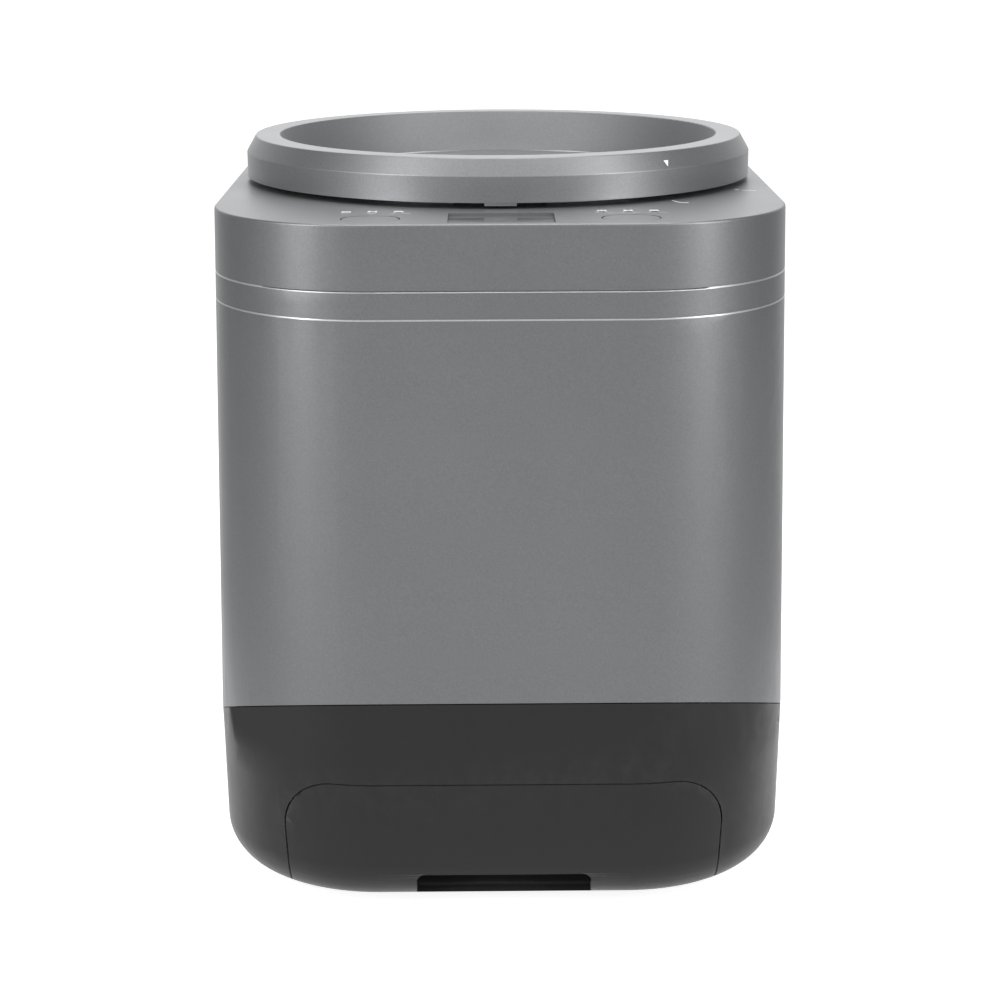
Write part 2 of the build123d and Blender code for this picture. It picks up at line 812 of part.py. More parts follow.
def make_base_shell(whole):
    """Dark tub: floor, walls, drawer opening, rear openings and screw and foot recesses."""
    near, far = wall + tongue_play, wall + tongue_play + tongue_wall
    upper = below_seam(-seam_gap)
    root = below_seam(-seam_gap - 2 * tongue_reach)
    base = (whole - body_solid(wall)) & upper
    base += ring_between(wall - tongue_root, far) & (upper - root)
    base += ring_between(near, far) & (below_seam(tongue_reach) - root)
    base -= along_y(drawer_profile(drawer_seam), -beyond, rail_front - opening_clear)
    hole = RectangleRounded(grille_width, grille_height, grille_corner)
    base -= along_y(grille_place() * hole, fan_back + past, beyond)
    base -= inlet_hole(fit_gap)
    for x, y in four_corners(pillar_x, pillar_y):
        base -= disc(tie_screw_radius + fit_gap, base_z - past, floor_z + past, x, y)
        base -= disc(2 * tie_screw_radius + fit_gap, base_z - past, tie_head_z, x, y)
    return base


def make_feet():
    """Four round rubber feet."""
    feet = []
    for x, y in four_corners(foot_x, foot_y):
        foot = disc(foot_radius, 0, foot_height, x, y)
        feet.append(fillet(foot.edges().group_by(Axis.Z)[0], foot_round))
    return Compound(feet)


def make_chassis():
    """Steel plate on four pillars that carries the gearbox, the boards and the liner's posts."""
    plate = body_solid(chassis_inset) & slab(chassis_under, chassis_z)
    plate -= duct_hollow(chassis_under - past, chassis_z + past)
    for x, y in four_corners(pillar_x, pillar_y):
        plate += disc(pillar_radius, floor_z, chassis_under, x, y)
        plate -= disc(tie_screw_radius + fit_gap, floor_z - past, chassis_z + past, x, y)
    return plate


def make_tie_screws():
    """Four long screws from under the base into the outer shell's bosses."""
    tip = shell_boss_top - shell_boss_cap - tie_screw_spare
    screws = []
    for x, y in four_corners(pillar_x, pillar_y):
        head = disc(2 * tie_screw_radius, base_z + tie_head_sunk, tie_head_z, x, y)
        head -= Pos(x, y, base_z) * Box(*driver_slot, tie_head_height)
        screws.append(head + disc(tie_screw_radius, tie_head_z, tip, x, y))
    return Compound(screws)


# ---------------------------------------------------------------- lid
def ring_section():
    """Half section of the turning ring, as radius and height."""
    land_z = dish_z + dish_land_rise
    ledge_top = ledge_z + ledge_height
    under = lid_top - lid_wall
    back = band_radius - lid_wall
    return Polygon(
        (band_radius, band_z), (band_radius, bevel_z),
        (lip_radius, lid_top), (lip_inner_radius, lid_top),
        (dish_radius, land_z), (skirt_inner_radius, land_z),
        (skirt_inner_radius, ledge_top), (ledge_inner_radius, ledge_top),
        (ledge_inner_radius, ledge_z), (skirt_inner_radius, ledge_z),
        (skirt_inner_radius, skirt_z), (skirt_outer_radius, skirt_z),
        (skirt_outer_radius, land_z - shoulder_fall),
        (dish_radius + lid_wall + shoulder_skin, land_z + shoulder_rise),
        (lip_inner_radius + lid_wall, under), (lip_radius - lip_setback, under),
        (back, bevel_z - bevel_setback), (back, band_z), align=None)


def make_lid_ring():
    """Turning ring: lip, bevel, band, the dish's sloping wall, the skirt and its bayonet lugs."""
    section = ring_section()
    corners = section.vertices()
    lips = [v for v in corners if v.Y > lid_top - touch or abs(v.Y - bevel_z) < touch]
    section = fillet(lips, lip_round)
    ring = Pos(0, lid_y, 0) * revolve(Plane.XZ * section, Axis.Z)
    low, high = skirt_z, skirt_z + lug_height
    lugs = tube(lug_radius, skirt_outer_radius - weld, low, high)
    for step in range(lug_count):
        turn = 360 * step / lug_count
        ring += lugs & sector(lug_radius, turn, lug_angle, low - past, high + past)
    tab_y = lid_y - band_radius + index_tab_inset
    ring += block(both(index_tab_width / 2), (tab_y, tab_y + index_tab_thick),
                  (band_z - index_tab_drop, band_z + index_tab_root))
    return ring


def lid_screw_places():
    """Centres of the screws that hold the seal plate to the dish floor."""
    pitch = 360 / lid_screw_count
    return about_lid(lid_screw_reach, [pitch * (step + 0.5) for step in range(lid_screw_count)])


def make_dish_floor():
    """Round floor of the dish, with shallow concentric rings."""
    plate = disc(skirt_inner_radius - dish_floor_play, dish_under_z, dish_z)
    for radius in dish_ring_radii:
        plate -= tube(radius, radius - dish_ring_width, dish_z - dish_ring_depth, dish_z + past)
    for x, y in lid_screw_places():
        plate -= disc(lid_screw_radius, dish_under_z - past, dish_z - lid_screw_cover, x, y)
    return plate


def make_seal_plate():
    """Plate under the dish floor that traps the ring's ledge and carries the gasket."""
    hoop = ledge_inner_radius - hoop_play
    plate = disc(skirt_inner_radius - seal_flange_play, seal_z, seal_top_z)
    plate += tube(hoop, hoop - hoop_thick, seal_top_z - weld, dish_under_z)
    for x, y in lid_screw_places():
        plate += disc(lid_boss_radius, seal_top_z - weld, dish_under_z, x, y)
        plate -= disc(lid_screw_radius + fit_gap, seal_z - past, dish_under_z + past, x, y)
    return plate


def make_gasket():
    """Soft ring between the seal plate and the bucket's rim."""
    low = rim_z + gasket_base
    groove_radius = gasket_inner_radius + gasket_lip
    ring = tube(bucket_rim_radius, gasket_inner_radius, rim_z, seal_z)
    return ring - tube(bucket_rim_radius + past, groove_radius, low, low + gasket_groove)


def make_lid_screws():
    """Pan-head screws up through the seal plate into the dish floor."""
    screws = []
    for x, y in lid_screw_places():
        head = disc(lid_screw_head, seal_z - lid_screw_head_height, seal_z, x, y)
        screws.append(head + disc(lid_screw_radius, seal_z, dish_z - lid_screw_cover, x, y))
    return Compound(screws)


def make_lock_collar():
    """Ring under the deck that the lugs turn beneath."""
    collar = tube(collar_radius, opening_radius, collar_z, deck_under)
    return collar - lock_slots(collar_z - past, deck_under + past)


def make_lid_switch():
    """Reed switch outside the collar that tells when the lid is turned home."""
    reach = collar_radius + fit_gap + switch_depth / 2
    body = Box(switch_depth, switch_width, switch_height)
    body += Pos(0, 0, -(switch_height + switch_pins[2]) / 2) * Box(*switch_pins)
    level = collar_z - switch_drop - switch_height / 2
    return Pos(0, lid_y, level) * Rot(0, 0, lid_switch_angle) * Pos(reach, 0, 0) * body


# ---------------------------------------------------------------- bucket and chamber
def bucket_cutter():
    """Fixed cutter on the bucket's wall, at +X, with a step taken off its top."""
    low = bucket_floor_z + cutter_lift
    high = low + cutter_height
    inner = bucket_radius - cutter_reach
    side = lid_y - cutter_thick / 2, lid_y + cutter_thick / 2
    blade = block((inner, bucket_radius + weld), side, (low, high))
    wide = side[0] - past, side[1] + past
    return blade - block((inner - past, inner + cutter_reach / 2), wide, (high - cutter_slope, high + past))


def make_bucket():
    """Lift-out bucket with its rim, hub and wall cutters."""
    pot = disc(bucket_outer_radius, bucket_under_z, rim_z)
    pot -= disc(bucket_radius, bucket_floor_z, rim_z + past)
    pot += tube(bucket_rim_radius, bucket_outer_radius - weld, bucket_seat_z, rim_z)
    pot += disc(bucket_hub_radius, bucket_floor_z - weld, bucket_hub_z)
    pot -= disc(shaft_radius + shaft_clearance, bucket_under_z - past, bucket_hub_z + past)
    for turn in round_about(cutter_count, cutter_first):
        pot += turn * bucket_cutter()
    return pot


def make_grips():
    """Two wire grips riveted inside the bucket's wall near the rim."""
    level = rim_z - grip_drop
    reach = bucket_radius - grip_stand
    half = degrees(asin(grip_span / 2 / reach))
    length = grip_stand - grip_end_gap
    centre = Pos(0, lid_y, level)
    keep = sector(reach, 0, 2 * half, level - 2 * grip_radius, level + 2 * grip_radius)
    grip = centre * Torus(reach, grip_radius) & keep
    for angle in both(half):
        end = centre * Rot(0, 0, angle)
        grip += end * Pos(reach + length / 2, 0, 0) * Rot(0, 90, 0) * Cylinder(grip_radius, length)
        grip += end * Pos(reach, 0, 0) * Sphere(grip_radius)
    return Compound([turn * grip for turn in round_about(2)])


def make_liner():
    """Heated chamber that the bucket stands in, hung from the collar by its stepped flange."""
    pot = disc(liner_wall_radius, liner_z, bucket_seat_z)
    pot -= disc(liner_radius, liner_z + wall, bucket_seat_z + past)
    pot += tube(collar_radius, liner_radius, liner_flange_z, bucket_seat_z)
    pot += tube(collar_radius, collar_radius - wall, liner_flange_z, collar_z)
    pot -= disc(liner_floor_hole, liner_z - past, liner_z + wall + past)
    return pot - exhaust_port(bucket_radius - cutter_reach)


def exhaust_port(inner_x, grow=0.0):
    """Air passage from the chamber's wall out to the duct."""
    high = duct_top - port_margin
    half = duct_width / 2 - port_margin + grow
    return block((inner_x, duct_inner_x + duct_wall + past), (duct_y - half, duct_y + half),
                 (high - port_height - grow, high + grow))


def duct_hollow(low, high):
    """Way down inside the duct between two heights."""
    half = duct_width / 2 - duct_wall
    across = duct_inner_x + duct_wall, duct_outer_x - duct_wall
    return block(across, (duct_y - half, duct_y + half), (low, high))


def make_duct():
    """Moulded duct from the chamber's port down to the drawer's compartment."""
    side = duct_y - duct_width / 2, duct_y + duct_width / 2
    box = block((duct_inner_x, duct_outer_x), side, (chassis_z, duct_top))
    stub = exhaust_port(liner_radius, duct_wall) & block((0, duct_inner_x + past), side, (0, duct_top))
    stub -= disc(wrap_radius, chassis_z, duct_top)
    return box + stub - duct_hollow(chassis_z - past, duct_top - duct_wall) - exhaust_port(liner_radius)


def make_heater():
    """Heating band round the lower part of the liner."""
    return tube(wrap_radius + heater_thick, wrap_radius, heater_z, heater_top)


def make_jacket():
    """Insulation wrapped round the liner above and over the heater."""
    jacket = tube(jacket_outer_radius, wrap_radius, liner_z + jacket_lift, liner_flange_z - jacket_drop)
    jacket -= tube(jacket_radius, wrap_radius - past, heater_z - fit_gap, heater_top + fit_gap)
    return jacket - sensor_block(fit_gap) - exhaust_port(liner_radius, duct_wall + fit_gap)


def sensor_block(grow=0.0):
    """Place of the temperature sensor on the liner's wall."""
    depth, width, height = sensor_size
    near = liner_wall_radius - sensor_bite
    side = width / 2 + grow
    low = heater_top + sensor_lift
    return block((-near - depth - grow, -near), (lid_y - side, lid_y + side),
                 (low - grow, low + height + grow))


def make_sensor():
    """Temperature sensor clipped to the liner."""
    return sensor_block() - disc(wrap_radius, liner_z, deck_z)


def make_posts():
    """Three posts that hold the liner above the chassis plate."""
    places = about_lid(post_reach, post_angles)
    return Compound([disc(post_radius, chassis_z, liner_z, x, y) for x, y in places])


# ---------------------------------------------------------------- agitator and drive
def make_blades():
    """Blade hub over the bucket's own hub, with two swept arms at two heights."""
    low = bucket_floor_z + blade_hub_lift
    hub = disc(blade_hub_radius, low, agitator_top_z + blade_hub_cap)
    hub -= disc(blade_hub_radius - blade_hub_wall, low - past, bucket_hub_z + blade_hub_play)
    first = bucket_floor_z + blade_lift
    second = first + blade_height + blade_step
    hub += blade_arm(bucket_radius - blade_low_gap, first, blade_first, blade_lean)
    hub += blade_arm(bucket_radius - blade_high_gap, second, blade_first + 180, -blade_lean)
    return hub - disc(shaft_radius, low - past, agitator_top_z)


def blade_arm(reach, level, angle, lean):
    """One curved arm, its tip bent in the way it is leaning."""
    tip_x = reach * cos(radians(lean)) * arm_reach_share
    tip_y = reach * sin(radians(lean)) * arm_reach_share
    middle = (reach * arm_bend[0], -tip_y * arm_bend[1])
    path = ThreePointArc((blade_hub_radius - blade_root, 0), middle, (tip_x, tip_y))
    arm = extrude(trace(path, line_width=blade_thick), amount=blade_height)
    return Pos(0, lid_y, level) * Rot(0, 0, angle) * arm


def make_agitator_shaft():
    """Shaft through the bucket's hub, from the socket up to the blades."""
    return disc(shaft_radius, bucket_under_z - shaft_below, agitator_top_z)


def make_socket():
    """Square socket under the bucket that drops over the output shaft's end."""
    low = liner_z - socket_drop
    half = drive_square / 2 + fit_gap
    cup = disc(socket_radius, low, socket_top_z)
    cup -= block(both(half), (lid_y - half, lid_y + half), (low - past, socket_roof_z))
    return cup - disc(shaft_radius, socket_roof_z - past, socket_top_z + past)


def gear_flank(teeth):
    """Points of one involute flank as radius and angle from the tooth's middle, root to tip."""
    pitch = pitch_radius(teeth)
    pressure = radians(pressure_angle)
    base = pitch * cos(pressure)
    tip = pitch + addendum * gear_module
    root = pitch - dedendum * gear_module
    half_tooth = pi / (2 * teeth) - gear_backlash / (2 * pitch)
    at_pitch = tan(pressure) - pressure
    start = max(base, root)
    points = []
    if base > root:
        points.append((root, half_tooth + at_pitch))
    for step in range(flank_steps + 1):
        radius = start + (tip - start) * step / flank_steps
        roll = sqrt(max((radius / base) ** 2 - 1, 0))
        points.append((radius, half_tooth + at_pitch - (roll - atan2(roll, 1))))
    return points


def gear(teeth, width, phase):
    """Spur wheel on the Z axis from z = 0, with a tooth centred on the phase angle (degrees)."""
    flank = gear_flank(teeth)
    points = []
    for tooth in range(teeth):
        centre = radians(phase) + 2 * pi * tooth / teeth
        for radius, away in flank:
            points.append((radius * cos(centre - away), radius * sin(centre - away)))
        for radius, away in reversed(flank):
            points.append((radius * cos(centre + away), radius * sin(centre + away)))
    return extrude(make_face(Polyline(*points, close=True)), amount=width)


def pierced(wheel, reach, radius, count, first=0.0):
    """Wheel with a ring of round holes."""
    for step in range(count):
        turn = Rot(0, 0, first + 360 * step / count)
        wheel -= turn * Pos(reach, 0, 0) * Cylinder(radius, beyond)
    return wheel


def make_output_gear():
    """Slow wheel on the lid axis."""
    reach = pitch_radius(output_teeth) * output_hole_share
    wheel = gear(output_teeth, slow_width, train_angle)
    wheel = pierced(wheel, reach, output_hole_radius, output_holes, 180 / output_holes)
    wheel -= Cylinder(output_shaft_radius, beyond)
    return Pos(0, lid_y, slow_z) * wheel


def make_output_shaft():
    """Output shaft with a shoulder under the wheel and a square upper end."""
    square_z = liner_z - square_root
    low, high = square_z - square_seat, socket_roof_z - square_end_gap
    half = drive_square / 2
    shaft = disc(output_shaft_radius, gearbox_floor_z + fit_gap, square_z)
    shaft += disc(output_shaft_radius + shoulder_width, slow_z - shoulder_height, slow_z)
    square = block(both(half), (lid_y - half, lid_y + half), (low, high))
    return shaft + (square & disc(square_turned, low - past, high))


def make_idler_wheel():
    """Large fast wheel of the idler pair, pierced for lightness."""
    reach = pitch_radius(idler_wheel_teeth) * idler_hole_share
    wheel = gear(idler_wheel_teeth, fast_width, train_angle + 180 / idler_wheel_teeth)
    wheel = pierced(wheel, reach, idler_hole_radius, idler_holes)
    wheel -= Cylinder(idler_pin_radius + shaft_clearance, beyond)
    return Pos(idler_x, idler_y, fast_z) * wheel


def make_idler_pinion():
    """Small slow pinion fixed on the idler wheel, with a collar down to it."""
    phase = train_angle + 180 + 180 / idler_pinion_teeth
    wheel = gear(idler_pinion_teeth, slow_width + 2 * pinion_overlap, phase)
    wheel += Pos(0, 0, -train_gap / 2) * Cylinder(idler_collar_radius, train_gap)
    wheel -= Cylinder(idler_pin_radius + shaft_clearance, beyond)
    return Pos(idler_x, idler_y, slow_z) * wheel


def make_motor_pinion():
    """Steel pinion on the motor's shaft."""
    wheel = gear(pinion_teeth, fast_width + 2 * pinion_overlap, train_angle + 180)
    wheel -= Cylinder(motor_shaft_radius, beyond)
    return Pos(motor_x, motor_y, fast_z - pinion_overlap) * wheel


def gearbox_plan(grow=0.0):
    """Plan of the gearbox: a hull round the three axes."""
    circles = [Pos(0, lid_y) * Circle(pitch_radius(output_teeth) + slow_case_gap + grow),
               Pos(idler_x, idler_y) * Circle(pitch_radius(idler_wheel_teeth) + fast_case_gap + grow),
               Pos(motor_x, motor_y) * Circle(motor_radius + motor_land + grow)]
    edges = []
    for circle in circles:
        edges += circle.edges()
    return make_hull(edges)


def bearing_seats():
    """Heights of the two output bearings: on the floor and under the top of the gearbox."""
    return gearbox_floor_z, gearbox_under_top - bearing_height


def bearing_cup(low, high):
    """Ring of the gearbox that holds a bearing."""
    return tube(bearing_radius + bearing_ring, bearing_radius, low, high)


def make_gearbox_lower():
    """Lower half of the gearbox, with the output bearing's ring and the idler pin's seat."""
    seat, _ = bearing_seats()
    case = Pos(0, 0, gearbox_z) * extrude(gearbox_plan(), amount=gearbox_split)
    case -= Pos(0, 0, gearbox_floor_z) * extrude(gearbox_plan(-gearbox_wall), amount=gearbox_split)
    case -= disc(idler_pin_radius, gearbox_z + pin_cover, gearbox_top, idler_x, idler_y)
    return case + bearing_cup(gearbox_floor_z - weld, seat + bearing_height)


def make_gearbox_upper():
    """Upper half of the gearbox, with holes for the output shaft and the motor's spigot."""
    _, seat = bearing_seats()
    low = gearbox_z + gearbox_split
    under = gearbox_under_top
    case = Pos(0, 0, low) * extrude(gearbox_plan(), amount=gearbox_top - low)
    case -= Pos(0, 0, low - past) * extrude(gearbox_plan(-gearbox_wall), amount=under - low + past)
    case -= disc(output_shaft_radius + hole_play, under - past, gearbox_top + past)
    case -= disc(spigot_radius, under - past, gearbox_top + past, motor_x, motor_y)
    case -= disc(idler_pin_radius, under - past, gearbox_top - pin_cover, idler_x, idler_y)
    return case + bearing_cup(seat, under + weld)


def bearing(z):
    """Ball bearing round the output shaft, with a groove between its two rings."""
    outer, inner = bearing_radius - bearing_fit, output_shaft_radius + bearing_bore_fit
    ring = tube(outer, inner, z, z + bearing_height)
    for face in (z - past, z + bearing_height - race_depth):
        ring -= tube(outer - race_widths[0], inner + race_widths[1], face, face + race_depth + past)
    return ring


def make_bearings():
    """Two bearings on the output shaft, in rings of the gearbox."""
    return Compound([bearing(seat) for seat in bearing_seats()])


def make_shaft_seal():
    """Lip seal round the output shaft on top of the gearbox."""
    top = gearbox_top + seal_height
    hollow = output_shaft_radius + hole_play
    seal = tube(bearing_radius, output_shaft_radius + bearing_bore_fit, gearbox_top, top)
    return seal - tube(bearing_radius - seal_wall, hollow, top - seal_wall, top + past)


def make_idler_pin():
    """Fixed pin that the idler pair turns on."""
    return disc(idler_pin_radius, gearbox_z + pin_cover, gearbox_top - pin_cover, idler_x, idler_y)


def make_motor_can():
    """Motor body standing on the gearbox, open below for its shaft."""
    low, high = gearbox_top, motor_top
    bore = motor_shaft_radius + motor_shaft_play
    can = disc(motor_radius, low, high, motor_x, motor_y)
    can = fillet(can.edges().group_by(Axis.Z)[-1], motor_round)
    can -= disc(motor_radius - motor_wall, low + motor_end, high - motor_end, motor_x, motor_y)
    return can - disc(bore, low - past, low + motor_end + past, motor_x, motor_y)


def make_motor_cap():
    """End cap with two terminals on top of the motor."""
    cap = disc(motor_cap_radius, motor_top, motor_top + motor_cap_height, motor_x, motor_y)
    terminal_z = motor_top + terminal_lift + terminal_size[2] / 2
    for side in both(terminal_spread):
        cap += Pos(motor_x + side, motor_y, terminal_z) * Box(*terminal_size)
    return cap


def make_rotor():
    """Rotor and its shaft inside the motor."""
    low = gearbox_top + motor_end + rotor_end_gap
    high = motor_top - motor_end - rotor_end_gap
    tip = motor_top - motor_end - motor_shaft_gap
    rotor = disc(motor_radius - motor_wall - rotor_play, low, high, motor_x, motor_y)
    return rotor + disc(motor_shaft_radius, fast_z - motor_shaft_below, tip, motor_x, motor_y)


# ---------------------------------------------------------------- drawer
def rib_bar(x, radius, front, back):
    """Round bar along Y on the axis of one of the drawer's two screws."""
    return along_y(Pos(x, front_rib_z) * Circle(radius), front, back)


def make_drawer_front(whole):
    """Curved front flush with the base, with the finger notch and two ribs towards the tray."""
    face = whole - body_solid(front_thick)
    face &= along_y(drawer_profile(), -beyond, rail_front - front_clear)
    half, rise = front_rib_thick / 2, front_rib_height / 2
    for x in both(front_rib_x):
        rib = block((x - half, x + half), (-beyond, tray_front), (front_rib_z - rise, front_rib_z + rise))
        face += rib & body_solid(front_thick / 2)
        face -= rib_bar(x, drawer_screw_radius, tray_front - drawer_screw_bite - past, tray_front + past)
    notch = block(both(notch_half_width), (-beyond, tray_front), (0, notch_top))
    return face - fillet(notch.edges().filter_by(Axis.Y).group_by(Axis.Z)[-1], notch_round)


def make_tray():
    """Open tray with side lips that hang on the rails."""
    half, wide = tray_half_width, tray_half_width + tray_lip
    span = (tray_front, tray_back)
    inner = (tray_front + tray_wall, tray_back - tray_wall)
    hole = drawer_screw_radius + drawer_screw_play
    tray = block(both(half), span, (tray_bottom, tray_top))
    tray += block(both(wide), span, (tray_top - tray_wall, tray_top))
    tray -= block(both(half - tray_wall), inner, (tray_floor, tray_top + past))
    for x in both(front_rib_x):
        tray -= rib_bar(x, hole, tray_front - past, inner[0] + past)
    return tray


def make_drawer_screws():
    """Two screws from inside the tray into the front's ribs."""
    inner = tray_front + tray_wall
    screws = []
    for x in both(front_rib_x):
        head = rib_bar(x, 2 * drawer_screw_radius, inner, inner + drawer_screw_head)
        screws.append(head + rib_bar(x, drawer_screw_radius, tray_front - drawer_screw_bite, inner))
    return Compound(screws)


def case_spans():
    """Y spans of the two filter cases in the tray, front one first."""
    low, high = tray_front + tray_wall + case_gap, tray_back - tray_wall - case_gap
    middle = (low + high) / 2
    return (low, middle - case_gap / 2), (middle + case_gap / 2, high)


def case_box(span, inset, low, high):
    """Box inside a filter case's outline."""
    half = tray_half_width - tray_wall - case_gap - inset
    return block(both(half), (span[0] + inset, span[1] - inset), (low, high))


def make_cases():
    """Two open cases for the carbon."""
    top = tray_floor + case_height
    cases = []
    for span in case_spans():
        inside = case_box(span, case_wall, tray_floor + case_wall, top + past)
        cases.append(case_box(span, 0, tray_floor, top) - inside)
    return Compound(cases)


def make_carbon():
    """Carbon fill of the two cases."""
    low, high = tray_floor + case_wall, tray_floor + case_height - carbon_drop
    return Compound([case_box(span, case_wall + fit_gap, low, high) for span in case_spans()])


def make_case_lids():
    """Two perforated lids on the cases."""
    low = tray_floor + case_height
    slot = extrude(SlotOverall(lid_slot_length, lid_slot_width), amount=3 * case_lid_thick)
    lids = []
    for span in case_spans():
        lid = case_box(span, 0, low, low + case_lid_thick)
        middle = (span[0] + span[1]) / 2
        for row in range(lid_slot_rows):
            y = middle + (row - (lid_slot_rows - 1) / 2) * lid_slot_pitch
            lid -= Pos(0, y, low - case_lid_thick) * slot
        lids.append(lid)
    return Compound(lids)


def make_rails():
    """Two upright rails on the base's floor that the tray's lips slide along."""
    inner = tray_half_width + fit_gap
    span = (rail_front, tray_back + rail_past)
    rail = block((inner, inner + rail_thick), span, (floor_z, tray_top - tray_wall - fit_gap))
    rail += block((inner, inner + rail_foot), span, (floor_z, floor_z + rail_foot_thick))
    return Compound([mirror(rail, Plane.YZ), rail])


def make_magnet():
    """Magnet holder on the base's floor behind the tray."""
    width, depth, height = magnet_size
    low = tray_back + strike_size[1] + fit_gap
    return block(both(width / 2), (low, low + depth), (floor_z, floor_z + height))


def make_strike():
    """Steel plate on the tray's back that the magnet holds."""
    width, depth, height = strike_size
    low = floor_z + strike_lift
    return block(both(width / 2), (tray_back, tray_back + depth), (low, low + height))


# ---------------------------------------------------------------- control deck
def in_window(inset, low, high):
    """Box inside the window's outline."""
    span = window_front + inset, window_back - inset
    return block(both(window_width / 2 - inset), span, (low, high))


def make_window():
    """Display window, sunk a little below the deck."""
    return in_window(window_play, window_under, window_top)


def make_display():
    """Display module standing on the control board under the window."""
    return in_window(display_inset, board_top, window_under)


def make_board():
    """Control board under the deck, screwed to the cover's bosses."""
    hole = board_screw_radius + board_screw_play
    board = block(both(board_half_width), (board_front, board_back), (board_under, board_top))
    board -= disc(collar_radius + past, 0, deck_z)
    for x, y in board_boss_places():
        board -= disc(hole, board_under - past, board_top + past, x, y)
    return board


def make_board_screws():
    """Four small screws through the control board."""
    tip = deck_under - board_boss_blind - board_screw_spare
    screws = []
    for x, y in board_boss_places():
        head = disc(board_screw_head, board_under - board_screw_head_height, board_under, x, y)
        screws.append(head + disc(board_screw_radius, board_under, tip, x, y))
    return Compound(screws)


def make_switches():
    """Two switches on the control board, under the keys."""
    switches = []
    for x in (key_left_x, key_right_x):
        body = Pos(x, key_y, board_top + tact_size[2] / 2) * Box(*tact_size)
        plunger = disc(plunger_radius, plunger_top - plunger_height, plunger_top, x, key_y)
        switches.append(body + plunger)
    return Compound(switches)


def make_key(x):
    """One stadium-shaped key with its stem."""
    low = deck_z - key_thick
    key = Pos(x, key_y, low) * extrude(stadium(key_width, key_depth), amount=key_thick)
    key = fillet(key.edges().group_by(Axis.Z)[-1], key_round)
    stem_low = plunger_top + key_travel + key_stem_play
    return key + disc(key_stem_radius, stem_low, low + weld, x, key_y)


def make_lights():
    """Six light pipes through the deck, with stalks down to the control board."""
    width, depth = light_size
    pipes = []
    for x, y in light_places():
        head = Pos(x, y, deck_z - wall / 2) * Box(width - light_play, depth - light_play, wall)
        pipes.append(head + disc(light_stalk_radius, board_top, deck_under + weld, x, y))
    return Compound(pipes)


# ---------------------------------------------------------------- rear and electrics
def make_grille():
    """Slotted grille in the back of the base, with a sleeve forward to the fan."""
    outer = RectangleRounded(grille_width - 2 * fit_gap, grille_height - 2 * fit_gap, grille_corner)
    bore_width, bore_height = grille_width - 2 * grille_frame, grille_height - 2 * grille_frame
    bore = RectangleRounded(bore_width, bore_height, grille_bore_corner)
    pitch = (grille_height - 2 * grille_slot_margin) / grille_slots
    slot = SlotOverall(grille_width - 2 * grille_slot_ends, pitch * grille_open_share)
    plate = along_y(grille_place() * outer, fan_back, beyond) & body_solid(grille_sunk)
    inside = body_solid(grille_sunk + grille_thick)
    plate -= along_y(grille_place() * bore, fan_back - past, beyond) & inside
    for step in range(grille_slots):
        lift = (step - (grille_slots - 1) / 2) * pitch
        plate -= along_y(grille_place() * Pos(0, lift) * slot, fan_back + grille_sleeve, beyond)
    return plate


def make_fan_frame():
    """Square fan frame on the base's floor, with a hub carried by four struts."""
    centre = Pos(fan_x, fan_z)
    strut_front = fan_back - fan_strut
    ring = RectangleRounded(fan_size, fan_size, fan_corner) - Circle(fan_bore)
    strut = Rectangle(fan_bore - fan_hub + 2 * fan_strut_root, fan_strut)
    frame = along_y(centre * ring, fan_front, fan_back)
    hub = along_y(centre * Circle(fan_hub), strut_front, fan_back)
    for turn in (45, 135, 225, 315):
        place = centre * Rot(0, 0, turn) * Pos((fan_bore + fan_hub) / 2, 0)
        hub += along_y(place * strut, strut_front, fan_back)
    pin = along_y(centre * Circle(fan_pin_radius), fan_front + fan_pin_setback, fan_back)
    return frame + hub + pin


def make_impeller():
    """Fan impeller on the frame's pin: a hub with tilted blades."""
    front, back = fan_front + impeller_setback, fan_back - impeller_back_gap
    centre = Pos(fan_x, fan_z)
    spindle = Pos(fan_x, (front + back) / 2, fan_z) * Rot(90, 0, 0)
    span = fan_tip - fan_hub + impeller_root
    blade = Rot(impeller_pitch, 0, 0) * Box(span, impeller_thick, impeller_chord)
    wheel = along_y(centre * Circle(fan_hub), front, back)
    for step in range(impeller_blades):
        turn = Rot(0, 0, 360 * step / impeller_blades)
        wheel += spindle * turn * Pos(fan_hub - impeller_root + span / 2, 0, 0) * blade
    wheel = wheel & along_y(centre * Circle(fan_tip), front, back)
    bore = Circle(fan_pin_radius + shaft_clearance)
    return wheel - along_y(centre * bore, front - past, back + past)


def make_inlet():
    """Appliance inlet in the back of the base, with three blades in its socket."""
    place = Pos(inlet_x, inlet_z)
    back = back_y + body_grow(inlet_z) - inlet_sunk
    front = back - inlet_depth
    flange_back = back - wall - inlet_flange_gap
    margin = 2 * inlet_flange_margin
    body = RectangleRounded(inlet_width, inlet_height, inlet_corner)
    flange = RectangleRounded(inlet_width + margin, inlet_height + margin, inlet_flange_corner)
    socket = RectangleRounded(inlet_width - 2 * socket_rim, inlet_height - 2 * socket_rim, socket_corner)
    inlet = along_y(place * body, front, back)
    inlet += along_y(place * flange, flange_back - inlet_flange, flange_back)
    inlet -= along_y(place * socket, front + socket_floor, back + past)
    for x, z in contact_places:
        contact = place * Pos(x, z) * Rectangle(*contact_size)
        inlet += along_y(contact, front + socket_floor - weld, back - contact_setback)
    return inlet


def make_main_board():
    """Mains board on the chassis plate, front right, on four stand-offs."""
    right, back = main_board_left + main_board_width, main_board_front + main_board_depth
    board = block((main_board_left, right), (main_board_front, back), (main_board_z, main_board_top))
    for x in (main_board_left + stand_inset, right - stand_inset):
        for y in (main_board_front + stand_inset, back - stand_inset):
            board += disc(stand_radius, chassis_z, main_board_z + weld, x, y)
    return board


